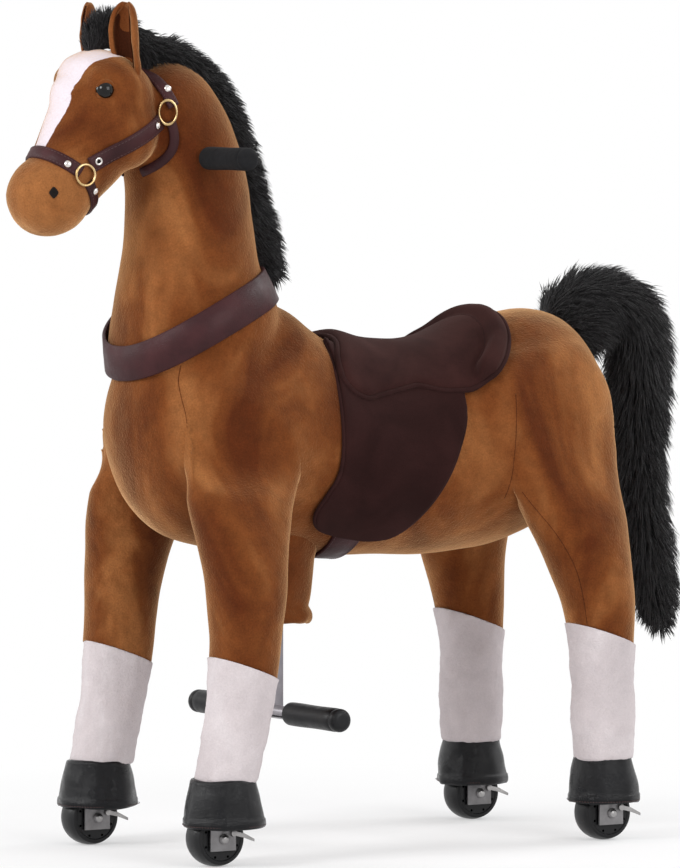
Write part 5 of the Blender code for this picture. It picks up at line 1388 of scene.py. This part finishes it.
def make_collar(tree):
    u = Vector((math.cos(-COLLAR_RISE), 0, math.sin(-COLLAR_RISE)))
    centre = COLLAR_MIDDLE - COLLAR_UP * 0.0010
    places, outs = plane_loop(tree, centre + COLLAR_UP * 0.004, u, 0, 2 * np.pi, 121)
    places = [p - COLLAR_UP * (0.004 - COLLAR_SIDE_RISE * (p.y / COLLAR_HALF_WIDTH) ** 2) for p in places]
    band = strap("collar_leather", places[:-1], outs[:-1], COLLAR_WIDTH, 0.0034, 0.0022, closed=True, stitches=False)
    for piece in band:
        dress(piece, None, "neck")
    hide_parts("collar_strap")


# ---------------------------------------------------------------- mane and tail
def hair_core(name, rows, by):
    bm = bmesh.new()
    add_loft(bm, [(*r[:4], max(r[4] - by, 0.003), max(r[5] - by, 0.003)) for r in rows], 26, 5)
    core = from_bmesh(name, bm)
    core.data.materials.append(HAIR)
    return core


def make_mane():
    core = hair_core("mane_core", middle(MANE), 0.007)
    dress(core, None, "neck", ("mane",))
    count = 15000
    roots, outs = scatter(core, count, 5)
    crest = smoothstep((roots[:, 0] - 0.285) / 0.02)[:, None]
    back = np.array((-0.45, 0.0, -0.30))
    up = np.array((0.05, 0.0, 1.1))
    ways = outs * (0.9 - 0.3 * crest) + back * (1 - crest) + up * crest
    lengths = rng.uniform(0.010, 0.020, count) * (1 - 0.25 * crest[:, 0])
    droop = np.array((0.0, 0.0, -0.45)) * (1 - crest)
    fur = strands("mane_fur", roots, ways, lengths, 0.00055, droop, 5, 3, 0.07, 11, 70.0, 0.40)
    dress(fur, None, "neck")


TAIL_ROOT = (-0.3080, 0.0, 0.5760)
TAIL_ROOT_RADII = (0.0330, 0.0250, 0.0240)


def make_tail():
    core = hair_core("tail_core", middle(TAIL), 0.008)
    bm = bmesh.new()
    bm.from_mesh(core.data)
    add_ball(bm, TAIL_ROOT, TAIL_ROOT_RADII)
    bm.to_mesh(core.data)
    bm.free()
    dress(core, None, "frame", ("tail",))
    count = 22000
    roots, outs = scatter(core, count, 6)
    line = curve_rows([(x, z, 0.0) for x, z, _, _, _ in TAIL], 8)
    nearest = np.argmin(((roots[:, None, [0, 2]] - line[None, :, :2]) ** 2).sum(-1), 1)
    along = np.gradient(line, axis=0)[nearest]
    along = np.stack([along[:, 0], np.zeros(count), along[:, 1]], 1)
    along /= np.linalg.norm(along, axis=1)[:, None]
    ways = outs * 0.85 + along * 0.85
    foot = smoothstep((0.300 - roots[:, 2]) / 0.08)
    lengths = rng.uniform(0.016, 0.036, count) * (1 - 0.45 * foot)
    fur = strands("tail_fur", roots, ways, lengths, 0.00060, (0.0, 0.0, -0.35), 5, 3, 0.06, 12, 60.0, 0.40)
    dress(fur, None, "frame")


# ---------------------------------------------------------------- saddle
# Flap edges from the top down to the lowest point, and the seat's lower edge from front to back: x, z
FLAP_FRONT = (
    (0.060, 0.640),
    (0.0735, 0.508),
    (0.0735, 0.430),
    (0.086, 0.401),
    (0.0955, 0.379),
    (0.087, 0.3635),
    (0.058, 0.354),
    (0.040, 0.351),
)
FLAP_BACK = (
    (-0.110, 0.640),
    (-0.098, 0.501),
    (-0.081, 0.449),
    (-0.064, 0.411),
    (-0.042, 0.376),
    (-0.018, 0.355),
    (0.017, 0.349),
    (0.040, 0.351),
)
SEAT_EDGE = (
    (0.068, 0.522),
    (0.054, 0.508),
    (0.035, 0.502),
    (0.002, 0.508),
    (-0.038, 0.5145),
    (-0.0765, 0.5075),
    (-0.110, 0.5065),
    (-0.139, 0.519),
)
SEAT_FRONT_X = (0.034, 0.068)
SEAT_REAR_X = (-0.188, -0.139)
ROLL_WIDTH = 0.026


def section_at(x):
    """Middle height, half height and half width of the torso at x."""
    xs = [r[0] for r in reversed(TORSO)]
    rows = np.array([((t + b) / 2, (t - b) / 2, w) for _, t, b, w in reversed(TORSO)])
    return [float(np.interp(x, xs, rows[:, k])) for k in range(3)]


def over_body(tree, x, angle, lift):
    """Point over the torso skin at x, round its section by an angle from the top."""
    middle_z, half_z, half_y = section_at(x)
    ray = Vector((0, math.sin(angle), math.cos(angle)))
    place, normal = cast(tree, Vector((x, 0, middle_z)) + ray * 0.25, -ray, 0.3)
    if place is None:
        place = Vector((x, math.sin(angle) * half_y, middle_z + math.cos(angle) * half_z))
        normal = ray
    return place + normal * lift, normal


def angle_at(x, z):
    """Angle from the top of the torso's section where it passes a height."""
    middle_z, half_z, half_y = section_at(x)
    cosine = np.clip((z - middle_z) / half_z, -0.999, 0.999)
    a = math.acos(cosine)
    return math.atan2(math.sin(a) * half_y, math.cos(a) * half_z)


def make_flap(tree, word, side):
    """Hanging leaf of the saddle, laid over the body's flank, with a corded edge."""
    fronts = curve_rows([(x, z, 0.0) for x, z in FLAP_FRONT], 6)
    backs = curve_rows([(x, z, 0.0) for x, z in FLAP_BACK], 6)
    grid = []
    for t, (front, back) in enumerate(zip(fronts[:-1], backs[:-1])):
        row = []
        for share in np.linspace(0, 1, 30):
            x, z = (front + (back - front) * share)[:2]
            down = t / len(fronts)
            fold = 0.0012 * math.sin(x * 70 + down * 3) * down
            angle = max(angle_at(x, z), math.radians(24))
            row.append(over_body(tree, x, side * angle, 0.0030 + 0.0022 * down + fold)[0])
        grid.append(row)
    bm = bmesh.new()
    add_rings(bm, grid, caps=False, closed=False)
    flap = from_bmesh(f"saddle_flap_{word}", bm)
    thick = flap.modifiers.new("thick", "SOLIDIFY")
    thick.thickness = 0.0034
    thick.offset = 1.0
    ease = flap.modifiers.new("ease", "SUBSURF")
    ease.levels = ease.render_levels = 1
    apply_modifiers(flap)
    dress(flap, SUEDE_DARK, "frame")
    rim = [row[0] for row in grid] + grid[-1][1:-1] + [row[-1] for row in reversed(grid)]
    cord = tube(f"flap_piping_{word}", even_out(rim, 3), 0.0025, 10)
    dress(cord, PIPING, "frame")
    return flap


def seat_place(share, u):
    """x and the angle from the top, at a share of the way from the rear edge to the front one."""
    rear = SEAT_REAR_X[0] + (SEAT_REAR_X[1] - SEAT_REAR_X[0]) * abs(u) ** 2.2
    front = SEAT_FRONT_X[0] + (SEAT_FRONT_X[1] - SEAT_FRONT_X[0]) * smoothstep(abs(u) * 1.15)
    x = rear + (front - rear) * share
    edge_x = [p[0] for p in reversed(SEAT_EDGE)]
    edge_z = [p[1] for p in reversed(SEAT_EDGE)]
    low = float(np.interp(x, edge_x, edge_z))
    return x, u * angle_at(x, low)


def make_seat(tree):
    """Padded seat: a cushion with a cantle roll along its rear edge, a seam at the roll's foot and a corded rim."""
    shares, turns = np.linspace(0, 1, 70), np.linspace(-1, 1, 75)
    base = np.zeros((len(shares), len(turns), 3))
    out = np.zeros_like(base)
    for i, share in enumerate(shares):
        for k, u in enumerate(turns):
            x, angle = seat_place(share, u)
            place, normal = over_body(tree, x, angle, 0.0)
            base[i, k], out[i, k] = place, normal
    rear = base[0]
    rim = np.concatenate([base[0], base[:, -1], base[-1][::-1], base[:, 0][::-1]])
    from_rim = np.linalg.norm(base[:, :, None] - rim[None, None], axis=-1).min(-1)
    from_rear = np.linalg.norm(base[:, :, None] - rear[None, None], axis=-1).min(-1)
    puff = np.sqrt(1 - (1 - np.clip(from_rim / 0.011, 0, 1)) ** 2)
    wing = np.abs(turns)[None]
    roll = (0.0060 + 0.0090 * wing) * np.sin(np.pi * np.clip(from_rear / ROLL_WIDTH, 0, 1))
    seam = 0.0024 * np.exp(-(((from_rear - ROLL_WIDTH) / 0.0035) ** 2))
    pommel = 0.0050 * np.exp(-(((base[:, :, 0] - 0.020) / 0.028) ** 2)) * (1 - wing**2)
    lift = 0.0060 + 0.0060 * puff + (roll - seam + pommel) * puff
    top = base + out * lift[:, :, None]
    under = base + out * 0.0042
    bm = bmesh.new()
    add_rings(bm, [[Vector(p) for p in np.concatenate([a, b[::-1]])] for a, b in zip(top, under)])
    seat = from_bmesh("seat_cushion", bm)
    ease = seat.modifiers.new("ease", "SMOOTH")
    ease.iterations = 4
    ease.factor = 0.5
    apply_modifiers(seat)
    dress(seat, SUEDE, "frame", ("saddle_seat", "saddle_cloth"))
    edge = np.concatenate([top[0], top[1:, -1], top[-1][::-1][1:], top[1:-1, 0][::-1]])
    cord = tube("seat_piping", even_out(edge, 4, True), 0.0030, 10, closed=True)
    dress(cord, PIPING, "frame")
    foot = []
    for k in range(len(turns)):
        i = int(np.argmin(np.abs(from_rear[:, k] - ROLL_WIDTH)))
        foot.append(top[i, k] + out[i, k] * 0.0004)
    seam_cord = tube("cantle_seam_cord", even_out(foot, 6), 0.0013, 8)
    dress(seam_cord, PIPING, "frame")


def make_saddle(tree):
    for word, side in SIDES.items():
        make_flap(tree, word, side)
    make_seat(tree)


def make_girth(tree):
    places, outs = [], []
    for a in np.radians(np.linspace(112, 248, 80)):
        p, n = over_body(tree, 0.022 + 0.018, a, 0.0)
        places.append(p)
        outs.append(n)
    pieces = strap("girth_leather", places, outs, 0.036, 0.0030, 0.0010)
    for piece in pieces:
        dress(piece, None, "frame")
    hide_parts("girth_strap")


# ---------------------------------------------------------------- footrest, sleeve and grips
def grip(name, start, axis, length, radius, mat, body, node):
    """Moulded grip: rounded root, a shallow groove before its domed end."""
    root, dome, groove = 0.0026, 0.0075, 0.0007
    profile = [(0.0, 0.0)]
    for a in np.linspace(0, math.pi / 2, 7):
        profile.append((radius - root * (1 - math.sin(a)), root * (1 - math.cos(a))))
    for share in np.linspace(0.04, 0.86, 14):
        profile.append((radius + 0.0002 * math.sin(share * 9.0), length * share))
    for share, depth in ((0.875, 0.6), (0.885, 1.0), (0.895, 0.6), (0.905, 0.0)):
        profile.append((radius - groove * depth, length * share))
    for a in np.linspace(0, math.pi / 2, 9):
        profile.append((radius - dome * (1 - math.cos(a)), length - dome * (1 - math.sin(a))))
    profile.append((0.0, length))
    made = turned(name, profile, Vector(start), Vector(axis), 48, closed=False)
    return dress(made, mat, body, (node,))


def make_footrest():
    post = copy_of("footrest_frame", "footrest_post", 0.0012)
    dress(post, PAINTED, "frame", ("footrest_frame",))
    for word, side in SIDES.items():
        start = (0.104, side * 0.047, 0.153)
        grip(f"footrest_grip_rubber_{word}", start, (0, side, 0), 0.108, 0.0130, PEDAL, "frame", f"footrest_grip_{word}")
        start = (0.2235, side * 0.066, 0.771)
        grip(f"handlebar_grip_foam_{word}", start, (0, side, 0), 0.090, 0.0125, FOAM, "neck", f"handlebar_grip_{word}")


# Sleeve round the footrest post, from its inside over the rolled hem and up: radius, height above the hem
SLEEVE_FOOT_Z = 0.2525
SLEEVE_PROFILE = (
    (0.0360, 0.060),
    (0.0365, 0.020),
    (0.0375, 0.008),
    (0.0395, 0.002),
    (0.0430, -0.001),
    (0.0465, 0.001),
    (0.0485, 0.006),
    (0.0480, 0.011),
    (0.0455, 0.0150),
    (0.0440, 0.0175),
    (0.0450, 0.022),
    (0.0475, 0.045),
    (0.0515, 0.070),
    (0.0565, 0.095),
    (0.0590, 0.108),
    (0.0400, 0.108),
)


def make_sleeve():
    profile = [(radius, SLEEVE_FOOT_Z + height) for radius, height in SLEEVE_PROFILE]
    sleeve = turned("footrest_sleeve_plush", profile, Vector((0.104, 0, 0)), (0, 0, 1), 72)
    ease = sleeve.modifiers.new("ease", "SUBSURF")
    ease.levels = ease.render_levels = 1
    apply_modifiers(sleeve)
    swell(sleeve, 0.0030, 26.0, 8.0)
    dress(sleeve, PLUSH, "frame", ("footrest_sleeve",))


# ---------------------------------------------------------------- floor, light and camera
FLOOR_HALF = 40.0
SHADOW_REACH = (0.30, 0.95)
PAPER_GLOW = 0.45
FILL_LIGHT = 0.50
LAMPS = (
    ("key light", (3.55, 0.55, 2.50), 1.4, 78.0),
    ("side light", (-0.40, 3.20, 1.90), 2.0, 50.0),
    ("back light", (-2.90, 0.00, 2.60), 1.8, 46.0),
    ("edge light", (2.90, -2.30, 1.70), 1.2, 36.0),
)


def seen_directly(tree):
    """1 for what the camera sees, also in a mirror or through glass, and 0 for light that falls on things."""
    path = tree.nodes.new("ShaderNodeLightPath")
    total = path.outputs["Is Camera Ray"]
    for kind in ("Is Glossy Ray", "Is Transmission Ray"):
        add = tree.nodes.new("ShaderNodeMath")
        add.operation = "ADD"
        add.use_clamp = True
        tree.links.new(total, add.inputs[0])
        tree.links.new(path.outputs[kind], add.inputs[1])
        total = add.outputs[0]
    return total


def make_floor():
    """Pale paper that keeps the horse's shadow and melts into the white backdrop away from it."""
    bm = bmesh.new()
    bmesh.ops.create_grid(bm, x_segments=2, y_segments=2, size=FLOOR_HALF)
    floor = from_bmesh("floor", bm, False)
    look = Look("floor paper", roughness=0.9, Specular_IOR_Level=0.1)
    look.colour(look.ramp(look.noise(3.0, detail=4.0), ((0.3, rgb(242, 242, 243)), (0.7, rgb(245, 245, 246)))))
    distance = look.node("ShaderNodeVectorMath", operation="LENGTH")
    look.link(look.where, distance.inputs[0])
    away = look.span(distance.outputs["Value"], *SHADOW_REACH, PAPER_GLOW, 1.0)
    white = look.node("ShaderNodeEmission", Strength=1.0)
    white.inputs["Color"].default_value = (1.0, 1.0, 1.0, 1.0)
    blend = look.node("ShaderNodeMixShader")
    look.link(look.maths("MULTIPLY", away, seen_directly(look.tree)), blend.inputs["Fac"])
    look.link(look.shader.outputs["BSDF"], blend.inputs[1])
    look.link(white.outputs["Emission"], blend.inputs[2])
    look.link(blend.outputs["Shader"], look.tree.nodes["Material Output"].inputs["Surface"])
    floor.data.materials.append(look.mat)


def make_stage():
    make_floor()
    world = bpy.data.worlds.new("studio")
    bpy.context.scene.world = world
    world.use_nodes = True
    tree = world.node_tree
    shade = tree.nodes["Background"]
    shade.inputs["Color"].default_value = (1.0, 1.0, 1.0, 1.0)
    strength = tree.nodes.new("ShaderNodeMapRange")
    strength.inputs["To Min"].default_value = FILL_LIGHT
    tree.links.new(seen_directly(tree), strength.inputs["Value"])
    tree.links.new(strength.outputs["Result"], shade.inputs["Strength"])
    for name, place, size, power in LAMPS:
        lamp = bpy.data.lights.new(name, "AREA")
        lamp.energy = power
        lamp.size = size
        made = bpy.data.objects.new(name, lamp)
        made.location = place
        made.rotation_euler = (Vector((0, 0, 0.45)) - Vector(place)).to_track_quat("-Z", "Y").to_euler()
        bpy.context.scene.collection.objects.link(made)


def make_camera():
    azimuth, elevation = math.radians(147.29), math.radians(3.0)
    target = Vector((0.0088, 0.0, 0.4594))
    back = Vector((math.sin(azimuth) * math.cos(elevation), -math.cos(azimuth) * math.cos(elevation), math.sin(elevation)))
    camera = bpy.data.cameras.new("camera")
    camera.lens = 312.66
    camera.sensor_width = 36.0
    camera.sensor_height = 36.0
    camera.sensor_fit = "AUTO"
    made = bpy.data.objects.new("camera", camera)
    made.location = target + back * 8.45
    made.rotation_euler = (-back).to_track_quat("-Z", "Y").to_euler()
    bpy.context.scene.collection.objects.link(made)
    bpy.context.scene.camera = made


def rest_of_frame():
    """CAD nodes that stay visible get their detailed material."""
    looks = {"main_frame": PAINTED, "steering_stem": PAINTED, "front_leg_frame": PAINTED, "rear_leg_frame": PAINTED}
    looks.update(drive_link=PLATE, front_return_spring=BRIGHT, rear_return_spring=BRIGHT)
    for node, mat in looks.items():
        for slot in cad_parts[node].material_slots:
            slot.material = mat


torso = make_body_and_legs()
make_running_gear()
head = make_head()
head_tree = bvh(head)
make_eyes(head_tree)
make_nostrils(head_tree)
make_ears()
make_bridle(head_tree)
make_collar(head_tree)
make_mane()
make_tail()
body_tree = bvh(torso)
make_saddle(body_tree)
make_girth(body_tree)
make_footrest()
make_sleeve()
rest_of_frame()
make_stage()
make_camera()
bpy.context.scene.view_settings.view_transform = "Standard"
